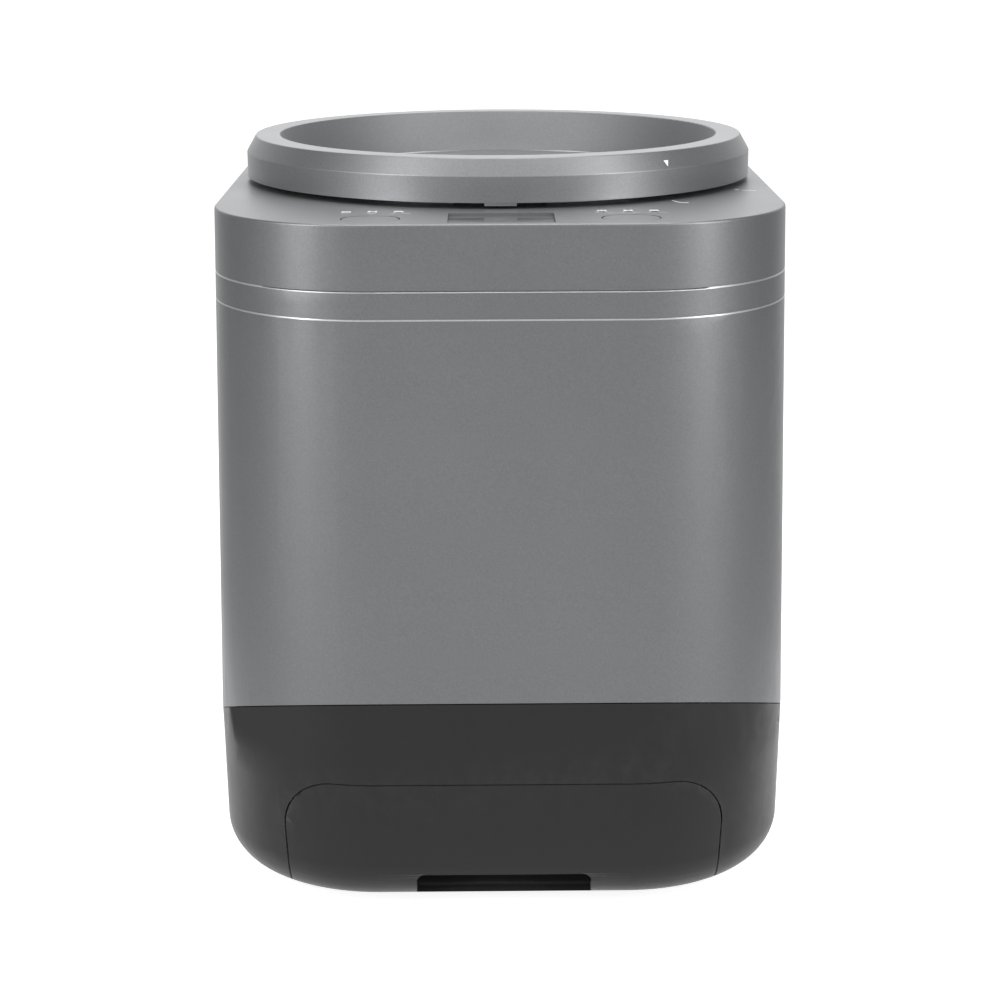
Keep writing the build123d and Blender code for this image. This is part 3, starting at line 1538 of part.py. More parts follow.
def on_main_board(place, size):
    """Box standing on the main board, its near left corner at place."""
    x, y = main_board_left + place[0], main_board_front + place[1]
    return block((x, x + size[0]), (y, y + size[1]), (main_board_top, main_board_top + size[2]))


def make_heat_sink():
    """Finned heat sink: a block with slots that leave its root and its left wall."""
    width, depth, height = sink_size
    pitch = depth / sink_slots
    above = slab(main_board_top + sink_root, deck_z)
    fins = on_main_board(sink_place, sink_size)
    for step in range(sink_slots):
        place = (sink_place[0] + sink_root, sink_place[1] + pitch * (step + sink_slot_start))
        fins -= on_main_board(place, (width, pitch * sink_slot_share, height + past)) & above
    return fins


def make_board_parts():
    """Transformer, relay, mains filter, capacitor and heat sink on the main board."""
    x, y = main_board_left + capacitor_place[0], main_board_front + capacitor_place[1]
    return Compound([
        on_main_board(transformer_place, transformer_size),
        on_main_board(relay_place, relay_size),
        on_main_board(filter_place, filter_size),
        disc(capacitor_radius, main_board_top, main_board_top + capacitor_height, x, y),
        make_heat_sink()])


# ---------------------------------------------------------------- write every piece
def make_all():
    """Every node of the part by name."""
    whole = body_solid()
    skin = whole - body_solid(wall)
    return {
        "top_cover": make_top_cover(skin),
        "outer_shell": make_outer_shell(skin),
        "base_shell": make_base_shell(whole),
        "rubber_feet": make_feet(),
        "chassis_plate": make_chassis(),
        "tie_screws": make_tie_screws(),
        "lid_ring": make_lid_ring(),
        "lid_dish_floor": make_dish_floor(),
        "lid_seal_plate": make_seal_plate(),
        "lid_gasket": make_gasket(),
        "lid_screws": make_lid_screws(),
        "lock_collar": make_lock_collar(),
        "lid_switch": make_lid_switch(),
        "bucket": make_bucket(),
        "bucket_grips": make_grips(),
        "chamber_liner": make_liner(),
        "heater_band": make_heater(),
        "insulation_jacket": make_jacket(),
        "temperature_sensor": make_sensor(),
        "liner_posts": make_posts(),
        "agitator_blades": make_blades(),
        "agitator_shaft": make_agitator_shaft(),
        "drive_socket": make_socket(),
        "output_gear": make_output_gear(),
        "output_shaft": make_output_shaft(),
        "idler_wheel": make_idler_wheel(),
        "idler_pinion": make_idler_pinion(),
        "idler_pin": make_idler_pin(),
        "motor_pinion": make_motor_pinion(),
        "motor_rotor": make_rotor(),
        "motor_can": make_motor_can(),
        "motor_cap": make_motor_cap(),
        "gearbox_lower": make_gearbox_lower(),
        "gearbox_upper": make_gearbox_upper(),
        "shaft_bearings": make_bearings(),
        "shaft_seal": make_shaft_seal(),
        "drawer_front": make_drawer_front(whole),
        "drawer_tray": make_tray(),
        "drawer_screws": make_drawer_screws(),
        "filter_cases": make_cases(),
        "carbon_packs": make_carbon(),
        "filter_lids": make_case_lids(),
        "drawer_rails": make_rails(),
        "drawer_magnet": make_magnet(),
        "strike_plate": make_strike(),
        "display_window": make_window(),
        "display_module": make_display(),
        "control_board": make_board(),
        "board_screws": make_board_screws(),
        "key_switches": make_switches(),
        "key_left": make_key(key_left_x),
        "key_right": make_key(key_right_x),
        "light_pipes": make_lights(),
        "exhaust_duct": make_duct(),
        "fan_frame": make_fan_frame(),
        "fan_impeller": make_impeller(),
        "rear_grille": make_grille(),
        "power_inlet": make_inlet(),
        "main_board": make_main_board(),
        "main_board_parts": make_board_parts(),
    }


os.makedirs("parts", exist_ok=True)
for name, piece in make_all().items():
    export_step(piece, f"parts/{name}.step")
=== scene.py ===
import json
from math import atan2, cos, pi, radians, sin

import bpy
from mathutils import Matrix, Vector

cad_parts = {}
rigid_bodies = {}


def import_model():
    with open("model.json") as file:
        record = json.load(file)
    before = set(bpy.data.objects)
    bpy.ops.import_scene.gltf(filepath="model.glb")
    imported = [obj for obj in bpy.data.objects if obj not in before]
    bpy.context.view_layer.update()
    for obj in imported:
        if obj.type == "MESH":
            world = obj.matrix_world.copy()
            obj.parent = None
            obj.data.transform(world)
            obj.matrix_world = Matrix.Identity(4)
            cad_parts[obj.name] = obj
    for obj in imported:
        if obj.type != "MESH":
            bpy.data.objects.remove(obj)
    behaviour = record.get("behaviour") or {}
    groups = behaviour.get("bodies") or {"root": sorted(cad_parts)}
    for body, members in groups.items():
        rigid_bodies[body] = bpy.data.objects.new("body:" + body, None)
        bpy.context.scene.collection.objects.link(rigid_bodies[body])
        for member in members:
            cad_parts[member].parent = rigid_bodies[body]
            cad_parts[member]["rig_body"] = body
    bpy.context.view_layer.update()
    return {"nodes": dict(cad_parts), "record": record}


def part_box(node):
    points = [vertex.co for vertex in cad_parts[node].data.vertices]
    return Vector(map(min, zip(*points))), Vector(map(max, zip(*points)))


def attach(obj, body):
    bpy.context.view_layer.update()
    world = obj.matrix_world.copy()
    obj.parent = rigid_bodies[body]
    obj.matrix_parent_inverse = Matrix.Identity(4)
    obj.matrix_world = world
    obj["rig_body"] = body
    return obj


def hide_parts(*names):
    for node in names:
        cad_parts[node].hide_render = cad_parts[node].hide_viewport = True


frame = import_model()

# Looks of an electric food waste composter: metallic grey body and lid, charcoal base and drawer,
# printed marks on the deck.  Metres, +Z up, front towards -Y.

cad_nodes = frame["nodes"]
node_slots = {row["node"]: row["material_slot"] for row in frame["record"]["subparts"]}
MM = 0.001

# Places that the marks and finishes are worked out from
ring_low, ring_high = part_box("lid_ring")
window_low, window_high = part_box("display_window")
left_key_low, left_key_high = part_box("key_left")
right_key_low, right_key_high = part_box("key_right")
lights_low, lights_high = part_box("light_pipes")
lid_x = (ring_low.x + ring_high.x) / 2
lid_y = (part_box("lid_dish_floor")[0].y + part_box("lid_dish_floor")[1].y) / 2
deck_z = left_key_high.z
lid_top = ring_high.z


# ---------------------------------------------------------------- shader trees
class Tree:
    """Lays out nodes in one shader tree."""

    def __init__(self, tree):
        self.tree = tree

    def add(self, kind, **settings):
        node = self.tree.nodes.new(kind)
        for name, value in settings.items():
            setattr(node, name, value)
        return node

    def feed(self, socket, value):
        """A link when value is an output, a plain number or colour otherwise."""
        if isinstance(value, bpy.types.NodeSocket):
            self.tree.links.new(value, socket)
        else:
            socket.default_value = value

    def math(self, operation, first, second=0.0, clamp=False):
        node = self.add("ShaderNodeMath", operation=operation, use_clamp=clamp)
        self.feed(node.inputs[0], first)
        self.feed(node.inputs[1], second)
        return node.outputs[0]

    def stretch(self, vector, scale, turn=(0, 0, 0), move=(0, 0, 0)):
        node = self.add("ShaderNodeMapping")
        self.feed(node.inputs["Vector"], vector)
        self.feed(node.inputs["Location"], move)
        self.feed(node.inputs["Rotation"], turn)
        self.feed(node.inputs["Scale"], scale)
        return node.outputs[0]

    def noise(self, vector, scale, detail=2.0, rough=0.5):
        node = self.add("ShaderNodeTexNoise")
        self.feed(node.inputs["Vector"], vector)
        self.feed(node.inputs["Scale"], scale)
        self.feed(node.inputs["Detail"], detail)
        self.feed(node.inputs["Roughness"], rough)
        return node.outputs["Fac"]

    def cells(self, vector, scale, output="Color"):
        node = self.add("ShaderNodeTexVoronoi")
        self.feed(node.inputs["Vector"], vector)
        self.feed(node.inputs["Scale"], scale)
        return node.outputs[output]

    def span(self, value, low, high, to_low=0.0, to_high=1.0):
        """Maps low..high to to_low..to_high, held at the ends."""
        node = self.add("ShaderNodeMapRange")
        self.feed(node.inputs["Value"], value)
        self.feed(node.inputs["From Min"], low)
        self.feed(node.inputs["From Max"], high)
        self.feed(node.inputs["To Min"], to_low)
        self.feed(node.inputs["To Max"], to_high)
        return node.outputs[0]

    def mix(self, amount, first, second, blend="MIX"):
        node = self.add("ShaderNodeMix", data_type="RGBA", blend_type=blend)
        self.feed(node.inputs[0], amount)
        self.feed(node.inputs[6], first)
        self.feed(node.inputs[7], second)
        return node.outputs[2]

    def plus(self, base, value, amount):
        """Base plus value times amount."""
        return self.math("ADD", base, self.math("MULTIPLY", value, amount))

    def weighted(self, first, share, second, other_share):
        """Sum of two values, each times its share."""
        return self.plus(self.math("MULTIPLY", first, share), second, other_share)

    def toned(self, colour, level):
        """A colour times a level."""
        channels = self.add("ShaderNodeCombineColor")
        for channel in range(3):
            self.feed(channels.inputs[channel], level)
        return self.mix(1.0, colour, channels.outputs[0], "MULTIPLY")

    def axes(self, vector):
        """X, Y and Z of a vector."""
        split = self.add("ShaderNodeSeparateXYZ")
        self.feed(split.inputs[0], vector)
        return split.outputs

    def place(self):
        return self.add("ShaderNodeTexCoord").outputs["Object"]

    def use(self, group, **values):
        """Places a node group and feeds its named inputs."""
        node = self.add("ShaderNodeGroup", node_tree=group)
        for name, value in values.items():
            self.feed(node.inputs[name.replace("_", " ")], value)
        return node.outputs


def make_group(name, inputs, outputs):
    """New node group: inputs are (name, kind, value), outputs (name, kind)."""
    tree = bpy.data.node_groups.new(name, "ShaderNodeTree")
    for label, kind, value in inputs:
        socket = tree.interface.new_socket(label, in_out="INPUT", socket_type=f"NodeSocket{kind}")
        socket.default_value = value
    for label, kind in outputs:
        tree.interface.new_socket(label, in_out="OUTPUT", socket_type=f"NodeSocket{kind}")
    hand = Tree(tree)
    return tree, hand, hand.add("NodeGroupInput").outputs, hand.add("NodeGroupOutput").inputs


def build_paint_flake():
    """Metallic paint: flakes that differ in tone, and a faint orange peel."""
    tree, hand, given, out = make_group(
        "Paint flake",
        [("Colour", "Color", (0.2, 0.2, 0.2, 1)), ("Flake size", "Float", 0.35 * MM),
         ("Flake contrast", "Float", 0.25), ("Roughness", "Float", 0.4)],
        [("Colour", "Color"), ("Roughness", "Float"), ("Height", "Float")])
    place = hand.place()
    scale = hand.math("DIVIDE", 1.0, given["Flake size"])
    flake = hand.noise(place, scale, 2.0, 0.7)
    coarse = hand.noise(place, hand.math("MULTIPLY", scale, 0.37), 3.0, 0.6)
    both = hand.weighted(flake, 0.65, coarse, 0.35)
    tone = hand.span(both, 0.34, 0.66, -0.5, 0.5)
    gain = hand.plus(1.0, tone, given["Flake contrast"])
    cloud = hand.span(hand.noise(place, 9.0, 3.0, 0.6), 0.3, 0.7, 0.975, 1.025)
    level = hand.math("MULTIPLY", gain, cloud)
    hand.feed(out["Colour"], hand.toned(given["Colour"], level))
    wander = hand.span(hand.noise(place, 22.0, 4.0, 0.6), 0.3, 0.7, -0.02, 0.02)
    hand.feed(out["Roughness"], hand.math("ADD", given["Roughness"], wander))
    peel = hand.noise(place, 900.0, 2.0, 0.5)
    hand.feed(out["Height"], hand.weighted(flake, 0.7, peel, 0.5))
    return tree


def build_moulded_grain():
    """Spark-eroded texture of moulded plastic."""
    tree, hand, given, out = make_group(
        "Moulded grain",
        [("Colour", "Color", (0.1, 0.1, 0.1, 1)), ("Grain size", "Float", 0.6 * MM),
         ("Variation", "Float", 0.1), ("Roughness", "Float", 0.5)],
        [("Colour", "Color"), ("Roughness", "Float"), ("Height", "Float")])
    place = hand.place()
    scale = hand.math("DIVIDE", 1.0, given["Grain size"])
    fine = hand.noise(place, scale, 3.0, 0.65)
    pits = hand.cells(place, hand.math("MULTIPLY", scale, 1.4), "Distance")
    hand.feed(out["Height"], hand.weighted(fine, 0.7, pits, 0.45))
    cloud = hand.noise(place, 14.0, 4.0, 0.6)
    tone = hand.math("ADD", hand.span(cloud, 0.3, 0.7, -0.6, 0.6), hand.span(fine, 0.3, 0.7, -0.4, 0.4))
    level = hand.plus(1.0, tone, given["Variation"])
    hand.feed(out["Colour"], hand.toned(given["Colour"], level))
    wander = hand.span(hand.noise(place, 30.0, 4.0, 0.65), 0.3, 0.7, -0.05, 0.05)
    hand.feed(out["Roughness"], hand.math("ADD", given["Roughness"], wander))
    return tree


def build_brushing():
    """Fine parallel scratches of rolled or ground metal, along the X axis of the given coordinates."""
    tree, hand, given, out = make_group(
        "Brushing",
        [("Vector", "Vector", (0, 0, 0)), ("Colour", "Color", (0.6, 0.6, 0.6, 1)),
         ("Line width", "Float", 0.25 * MM), ("Contrast", "Float", 0.18), ("Roughness", "Float", 0.3)],
        [("Colour", "Color"), ("Roughness", "Float"), ("Height", "Float")])
    long = hand.stretch(given["Vector"], (0.03, 1.0, 1.0))
    scale = hand.math("DIVIDE", 1.0, given["Line width"])
    lines = hand.noise(long, scale, 3.0, 0.6)
    tone = hand.span(lines, 0.35, 0.65, -0.5, 0.5)
    level = hand.plus(1.0, tone, given["Contrast"])
    hand.feed(out["Colour"], hand.toned(given["Colour"], level))
    hand.feed(out["Roughness"], hand.plus(given["Roughness"], tone, 0.12))
    hand.feed(out["Height"], lines)
    return tree


def build_handling():
    """Where fingers and cloths have been: a soft mask of smears and a finer one of dust."""
    tree, hand, given, out = make_group(
        "Handling",
        [("Size", "Float", 60 * MM), ("Amount", "Float", 0.5)],
        [("Smear", "Float"), ("Dust", "Float")])
    place = hand.place()
    scale = hand.math("DIVIDE", 1.0, given["Size"])
    drawn = hand.stretch(place, (1.0, 1.0, 0.45), (0.3, 0.2, 0.5))
    smear = hand.span(hand.noise(drawn, scale, 5.0, 0.62), 0.5, 0.72)
    hand.feed(out["Smear"], hand.math("MULTIPLY", smear, given["Amount"]))
    specks = hand.span(hand.noise(place, hand.math("MULTIPLY", scale, 46.0), 2.0, 0.7), 0.66, 0.78)
    hand.feed(out["Dust"], hand.math("MULTIPLY", specks, given["Amount"]))
    return tree


def build_edge_wear():
    """Mask of edges that rub: brighter where the surface turns sharply outwards."""
    tree, hand, given, out = make_group(
        "Edge wear", [("Amount", "Float", 0.5), ("Patch size", "Float", 8 * MM)], [("Mask", "Float")])
    sharp = hand.add("ShaderNodeNewGeometry").outputs["Pointiness"]
    edge = hand.span(sharp, 0.53, 0.62)
    patch = hand.noise(hand.place(), hand.math("DIVIDE", 1.0, given["Patch size"]), 4.0, 0.6)
    mask = hand.math("MULTIPLY", edge, hand.span(patch, 0.4, 0.65))
    hand.feed(out["Mask"], hand.math("MULTIPLY", mask, given["Amount"]))
    return tree


paint_flake = build_paint_flake()
moulded_grain = build_moulded_grain()
brushing = build_brushing()
handling = build_handling()
edge_wear = build_edge_wear()


# ---------------------------------------------------------------- materials
def start_material(name, **constants):
    """Material with a Principled BSDF whose unchanging values are set on its own sockets."""
    material = bpy.data.materials.new(name)
    material.use_nodes = True
    hand = Tree(material.node_tree)
    shader = material.node_tree.nodes["Principled BSDF"]
    for label, value in constants.items():
        shader.inputs[label.replace("_", " ")].default_value = value
    return material, hand, shader.inputs


def bump(hand, inputs, height, distance, strength=1.0):
    node = hand.add("ShaderNodeBump")
    hand.feed(node.inputs["Strength"], strength)
    hand.feed(node.inputs["Distance"], distance)
    hand.feed(node.inputs["Height"], height)
    hand.feed(inputs["Normal"], node.outputs[0])


def grey(level, warm=0.0):
    """Linear near-neutral colour: level, a touch warmer or cooler."""
    return (level * (1 + warm), level, level * (1 - warm), 1)


def darker(colour, share):
    """The same colour at a share of its level."""
    return tuple(c * share for c in colour[:3]) + (1,)


paint_tint = -0.025                   # the paint is a touch cooler than neutral
top_light_from, top_light_full = 0.7, 0.98  # upward share of the normal where the painted top light starts, and where it is full
dust_colour = (0.32, 0.31, 0.30, 1)
arc_radius = 80 * MM                  # turns an angle round the lid's axis into an arc's length


def metallic_paint(name, level, rough=0.40, metallic=0.75, contrast=0.30, top_light_gain=1.65):
    """Metallic paint with painted top light: faces that look up get a paler colour than upright ones, as if
    lit from above.
    """
    material, hand, inputs = start_material(name, Metallic=metallic, IOR=1.5, Coat_IOR=1.5)
    # Painted light: the colour is paler the more a face looks up.
    normal = hand.add("ShaderNodeNewGeometry").outputs["Normal"]
    top_lit_share = hand.span(hand.axes(normal)[2], top_light_from, top_light_full)
    colour = hand.mix(top_lit_share, grey(level, paint_tint), grey(level * top_light_gain, paint_tint))
    flake = hand.use(paint_flake, Colour=colour, Flake_contrast=contrast, Roughness=rough)
    touched = hand.use(handling, Size=90 * MM, Amount=0.35)
    hand.feed(inputs["Base Color"], flake["Colour"])
    hand.feed(inputs["Roughness"], hand.plus(flake["Roughness"], touched["Smear"], 0.05))
    bump(hand, inputs, flake["Height"], 0.012 * MM)
    return material


def moulded_plastic(name, colour, rough=0.5, grain=0.6 * MM, depth=0.02 * MM, dust=0.2, variation=0.1,
                    shine=0.5, sheen=0.0):
    material, hand, inputs = start_material(name, IOR=1.47, Specular_IOR_Level=shine,
                                            Sheen_Weight=sheen, Sheen_Roughness=0.35)
    grain_out = hand.use(moulded_grain, Colour=colour, Grain_size=grain, Variation=variation, Roughness=rough)
    touched = hand.use(handling, Size=50 * MM, Amount=dust)
    dusty = hand.mix(hand.math("MULTIPLY", touched["Dust"], 0.5), grain_out["Colour"], dust_colour)
    worn = hand.use(edge_wear, Amount=0.35)
    paler = hand.mix(worn["Mask"], dusty, tuple(min(1, c * 1.8 + 0.02) for c in colour[:3]) + (1,))
    hand.feed(inputs["Base Color"], paler)
    hand.feed(inputs["Roughness"], hand.plus(grain_out["Roughness"], touched["Smear"], -0.1))
    bump(hand, inputs, grain_out["Height"], depth)
    return material


def brushed_metal(name, colour, rough=0.3, width=0.25 * MM, turn=(0, 0, 0), depth=0.004 * MM):
    material, hand, inputs = start_material(name, Metallic=1.0)
    along = hand.stretch(hand.place(), (1, 1, 1), turn)
    lines = hand.use(brushing, Vector=along, Colour=colour, Line_width=width, Roughness=rough)
    touched = hand.use(handling, Size=30 * MM, Amount=0.4)
    hand.feed(inputs["Base Color"], hand.mix(touched["Smear"], lines["Colour"], darker(colour, 0.8)))
    hand.feed(inputs["Roughness"], hand.plus(lines["Roughness"], touched["Smear"], 0.12))
    bump(hand, inputs, lines["Height"], depth)
    return material


def round_coordinates(hand, x, y):
    """(distance from an upright axis, angle as an arc length, height) of a point."""
    px, py, pz = hand.axes(hand.stretch(hand.place(), (1, 1, 1), move=(-x, -y, 0)))
    reach = hand.math("SQRT", hand.math("ADD", hand.math("MULTIPLY", px, px), hand.math("MULTIPLY", py, py)))
    angle = hand.math("ARCTAN2", py, px)
    joined = hand.add("ShaderNodeCombineXYZ")
    hand.feed(joined.inputs[0], hand.math("MULTIPLY", angle, arc_radius))
    hand.feed(joined.inputs[1], reach)
    hand.feed(joined.inputs[2], pz)
    return joined.outputs[0]


def turned_metal(name, colour, rough=0.3, width=0.4 * MM, contrast=0.2):
    """Metal with turning or drawing lines round the lid's axis."""
    material, hand, inputs = start_material(name, Metallic=1.0)
    lines = hand.use(brushing, Vector=round_coordinates(hand, lid_x, lid_y), Colour=colour, Line_width=width,
                     Contrast=contrast, Roughness=rough)
    touched = hand.use(handling, Size=40 * MM, Amount=0.5)
    hand.feed(inputs["Base Color"], hand.mix(touched["Smear"], lines["Colour"], darker(colour, 0.75)))
    hand.feed(inputs["Roughness"], hand.plus(lines["Roughness"], touched["Smear"], 0.15))
    bump(hand, inputs, lines["Height"], 0.01 * MM)
    return material


def coated_pot(name):
    """Dark speckled non-stick coat."""
    material, hand, inputs = start_material(name, Metallic=0.0, IOR=1.5, Coat_Weight=0.25,
                                            Coat_Roughness=0.25)
    grain_out = hand.use(moulded_grain, Colour=grey(0.035), Grain_size=0.9 * MM, Variation=0.2,
                         Roughness=0.34)
    fleck = hand.span(hand.noise(hand.place(), 1400.0, 1.0, 0.4), 0.68, 0.72)
    hand.feed(inputs["Base Color"], hand.mix(fleck, grain_out["Colour"], grey(0.30)))
    hand.feed(inputs["Roughness"], grain_out["Roughness"])
    bump(hand, inputs, grain_out["Height"], 0.02 * MM)
    return material


def soft_rubber(name, level, rough=0.75):
    material, hand, inputs = start_material(name, IOR=1.5, Sheen_Weight=0.15, Sheen_Roughness=0.5)
    grain_out = hand.use(moulded_grain, Colour=grey(level), Grain_size=0.4 * MM, Variation=0.25,
                         Roughness=rough)
    touched = hand.use(handling, Size=14 * MM, Amount=0.7)
    powder = hand.math("ADD", touched["Dust"], hand.math("MULTIPLY", touched["Smear"], 0.25), clamp=True)
    powdered = grey(min(0.5, level * 2 + 0.08), 0.03)
    hand.feed(inputs["Base Color"], hand.mix(powder, grain_out["Colour"], powdered))
    hand.feed(inputs["Roughness"], grain_out["Roughness"])
    bump(hand, inputs, grain_out["Height"], 0.03 * MM)
    return material


def smoked_window(name):
    """Glossy window over the display: grey, darker towards the back with painted shade from the recess's back
    wall, with hair scratches and faint smears.
    """
    material, hand, inputs = start_material(name, IOR=1.5, Coat_Weight=0.6, Coat_Roughness=0.06)
    place = hand.place()
    # Painted shade: the window is darker towards the back, where the recess's back wall shades it.
    depth = hand.span(hand.axes(place)[1], window_low.y, window_high.y)
    tone = hand.mix(depth, grey(0.20, -0.02), grey(0.075, -0.02))
    touched = hand.use(handling, Size=18 * MM, Amount=0.6)
    hand.feed(inputs["Base Color"], hand.mix(touched["Smear"], tone, grey(0.18)))
    scratch = hand.noise(hand.stretch(place, (8.0, 1.0, 1.0), (0, 0, 0.6)), 1800.0, 1.0, 0.4)
    hand.feed(inputs["Roughness"], hand.plus(0.16, touched["Smear"], 0.2))
    bump(hand, inputs, scratch, 0.001 * MM)
    return material


def carbon_granules(name):
    material, hand, inputs = start_material(name, IOR=1.6)
    place = hand.place()
    grain_tone = hand.cells(place, 420.0)
    split = hand.add("ShaderNodeSeparateColor")
    hand.feed(split.inputs[0], grain_tone)
    hand.feed(inputs["Base Color"], hand.mix(split.outputs[0], grey(0.006), grey(0.035)))
    hand.feed(inputs["Roughness"], hand.span(split.outputs[1], 0, 1, 0.35, 0.8))
    bump(hand, inputs, hand.math("SUBTRACT", 1.0, hand.cells(place, 420.0, "Distance")), 1.2 * MM)
    return material


def felt(name):
    material, hand, inputs = start_material(name, Roughness=0.95, Sheen_Weight=0.4, Sheen_Roughness=0.6)
    place = hand.place()
    fibres = hand.noise(hand.stretch(place, (1, 1, 4), (0.4, 0.7, 0.2)), 900.0, 5.0, 0.75)
    hand.feed(inputs["Base Color"], hand.mix(fibres, (0.42, 0.40, 0.36, 1), (0.74, 0.72, 0.66, 1)))
    bump(hand, inputs, fibres, 0.4 * MM)
    return material


def circuit_board(name):
    """Solder mask with fine tracks."""
    material, hand, inputs = start_material(name, IOR=1.5, Coat_Weight=0.3, Coat_Roughness=0.2)
    place = hand.place()
    bricks = hand.add("ShaderNodeTexBrick", offset=0.35, squash=0.6)
    hand.feed(bricks.inputs["Vector"], place)
    hand.feed(bricks.inputs["Scale"], 160.0)
    hand.feed(bricks.inputs["Mortar Size"], 0.03)
    hand.feed(bricks.inputs["Color1"], (0.012, 0.10, 0.045, 1))
    hand.feed(bricks.inputs["Color2"], (0.010, 0.085, 0.038, 1))
    hand.feed(bricks.inputs["Mortar"], (0.03, 0.20, 0.09, 1))
    hand.feed(inputs["Base Color"], bricks.outputs["Color"])
    hand.feed(inputs["Roughness"], hand.span(hand.noise(place, 60.0, 3.0), 0.3, 0.7, 0.3, 0.45))
    bump(hand, inputs, bricks.outputs["Fac"], 0.03 * MM)
    return material


def printed_ink(name, colour, shine=0.5):
    """Slightly uneven screen-printed ink."""
    material, hand, inputs = start_material(name, IOR=1.5, Specular_IOR_Level=shine)
    speckle = hand.noise(hand.place(), 2600.0, 2.0, 0.6)
    hand.feed(inputs["Base Color"], hand.mix(hand.span(speckle, 0.35, 0.65), darker(colour, 0.86), colour))
    hand.feed(inputs["Roughness"], hand.span(speckle, 0.3, 0.7, 0.42, 0.55))
    return material


shell_paint = metallic_paint("Shell paint", 0.16)
# Painted light: the lid's copy of the shell paint, set paler so that the lid reads brighter.
lit_lid_paint = metallic_paint("Lit lid paint", 0.195)
# Painted shade: the dish wall's copy of the lid paint, darker and rougher, so that the lamps' reflections on
# it are dimmer.
shaded_dish_paint = metallic_paint("Shaded dish wall paint", 0.17, rough=0.60)
# Painted highlight: a much paler copy of the shell paint for the bevels of the two fine lines.
highlight_paint = metallic_paint("Painted highlight paint", 0.42, rough=0.34)
base_plastic = moulded_plastic("Charcoal plastic", grey(0.010, -0.01), rough=0.44, depth=0.010 * MM,
                               dust=0.05, shine=0.28, sheen=0.20)
inner_plastic = moulded_plastic("Black inner plastic", grey(0.016), rough=0.55, grain=1.0 * MM,
                                depth=0.03 * MM)
vent_plastic = moulded_plastic("Black vent plastic", grey(0.010), rough=0.48, grain=0.5 * MM)
gearbox_plastic = moulded_plastic("Glass filled plastic", grey(0.012), rough=0.5, grain=1.2 * MM,
                                  depth=0.05 * MM)
case_plastic = moulded_plastic("Pale case plastic", grey(0.34), rough=0.5, dust=0.4)
nylon = moulded_plastic("Natural nylon", (0.70, 0.66, 0.54, 1), rough=0.42, dust=0.15)
part_plastic = moulded_plastic("Component mouldings", grey(0.02), rough=0.4, grain=0.8 * MM)
window_gloss = smoked_window("Smoked window")
light_milk = moulded_plastic("Milky light pipe", grey(0.78), rough=0.35, depth=0.004 * MM,
                             dust=0.05, variation=0.04)
steel = brushed_metal("Plated steel", (0.58, 0.59, 0.60, 1), rough=0.28)
blade_metal = brushed_metal("Coated casting", (0.20, 0.20, 0.21, 1), rough=0.42, width=0.8 * MM,
                            depth=0.03 * MM)
spun_aluminium = turned_metal("Spun aluminium", (0.66, 0.67, 0.68, 1), rough=0.32)
pot_coat = coated_pot("Speckled coat")
black_rubber = soft_rubber("Black rubber", 0.018)
grey_silicone = soft_rubber("Grey silicone", 0.30, rough=0.6)
sensor_brass = brushed_metal("Plated brass", (0.62, 0.46, 0.20, 1), rough=0.3)
carbon = carbon_granules("Carbon granules")
jacket_felt = felt("Needled felt")
board_green = circuit_board("Solder mask")
white_ink = printed_ink("White ink", grey(0.80))
# Painted shade: ink with no shine, so that it stays dark as the shade of a recess would.
shade_ink = printed_ink("Painted shade ink", grey(0.02), shine=0.0)
pale_ink = printed_ink("Pale ink", grey(0.50))

slot_finish = {
    "shell_paint": shell_paint, "base_plastic": base_plastic, "key_plastic": shell_paint,
    "window_plastic": window_gloss, "light_plastic": light_milk, "inner_plastic": inner_plastic,
    "case_plastic": case_plastic, "vent_plastic": vent_plastic, "carbon": carbon, "rubber": black_rubber,
    "seal_rubber": grey_silicone, "coated_aluminium": pot_coat, "bare_aluminium": spun_aluminium,
    "steel": steel, "cast_blades": blade_metal, "gear_plastic": nylon, "gearbox_plastic": gearbox_plastic,
    "insulation": jacket_felt, "sensor": sensor_brass, "board": board_green, "board_parts": part_plastic,
}


def paint_over(piece, material):
    piece.data.materials.clear()
    piece.data.materials.append(material)


def finish_of(name):
    """The lid takes a paler copy of the body's paint: painted light that brightens the lid ring and dish
    floor.
    """
    return lit_lid_paint if name in ("lid_ring", "lid_dish_floor") else slot_finish[node_slots[name]]


for name, node in cad_nodes.items():
    paint_over(node, finish_of(name))


# ---------------------------------------------------------------- small hands for modelling
def alone(piece=None):
    """Nothing selected but piece."""
    if bpy.context.object and bpy.context.object.mode != "OBJECT":
        bpy.ops.object.mode_set(mode="OBJECT")
    bpy.ops.object.select_all(action="DESELECT")
    if piece:
        piece.select_set(True)
        bpy.context.view_layer.objects.active = piece


def settle(piece):
    """The piece's place goes into its mesh."""
    alone(piece)
    bpy.ops.object.transform_apply(location=True, rotation=True, scale=True)


def hand_in(piece, name, material, body, slot, *nodes):
    """Names a finished piece, gives it its material, hangs it on its body and hides the nodes that it stands
    in for.
    """
    piece.name = name
    piece.data.name = name
    paint_over(piece, material)
    settle(piece)
    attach(piece, body)
    if nodes:
        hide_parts(*nodes)
    return piece


def joined(pieces):
    """One object of several."""
    alone(pieces[0])
    for piece in pieces:
        piece.select_set(True)
    if len(pieces) > 1:
        bpy.ops.object.join()
    return bpy.context.object


# ---------------------------------------------------------------- shells with smooth shading
weld_reach = 0.002 * MM
smooth_angle = radians(24)
merge_angles = {"outer_shell": 0.3, "top_cover": 0.3, "drawer_front": 0.3}   # degrees
base_wall_levels = (70 * MM, 82 * MM)     # the base's wall is shaded as the shell's above these
shell_drop = 90 * MM


def body_of_node(name):
    return cad_nodes[name]["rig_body"]


def loose_copy(original):
    """Copy of a piece that hangs on nothing."""
    alone(original)
    bpy.ops.object.duplicate()
    piece = bpy.context.object
    for key in list(piece.keys()):
        if key.startswith("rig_"):
            del piece[key]
    world = piece.matrix_world.copy()
    piece.parent = None
    piece.matrix_world = world
    return piece


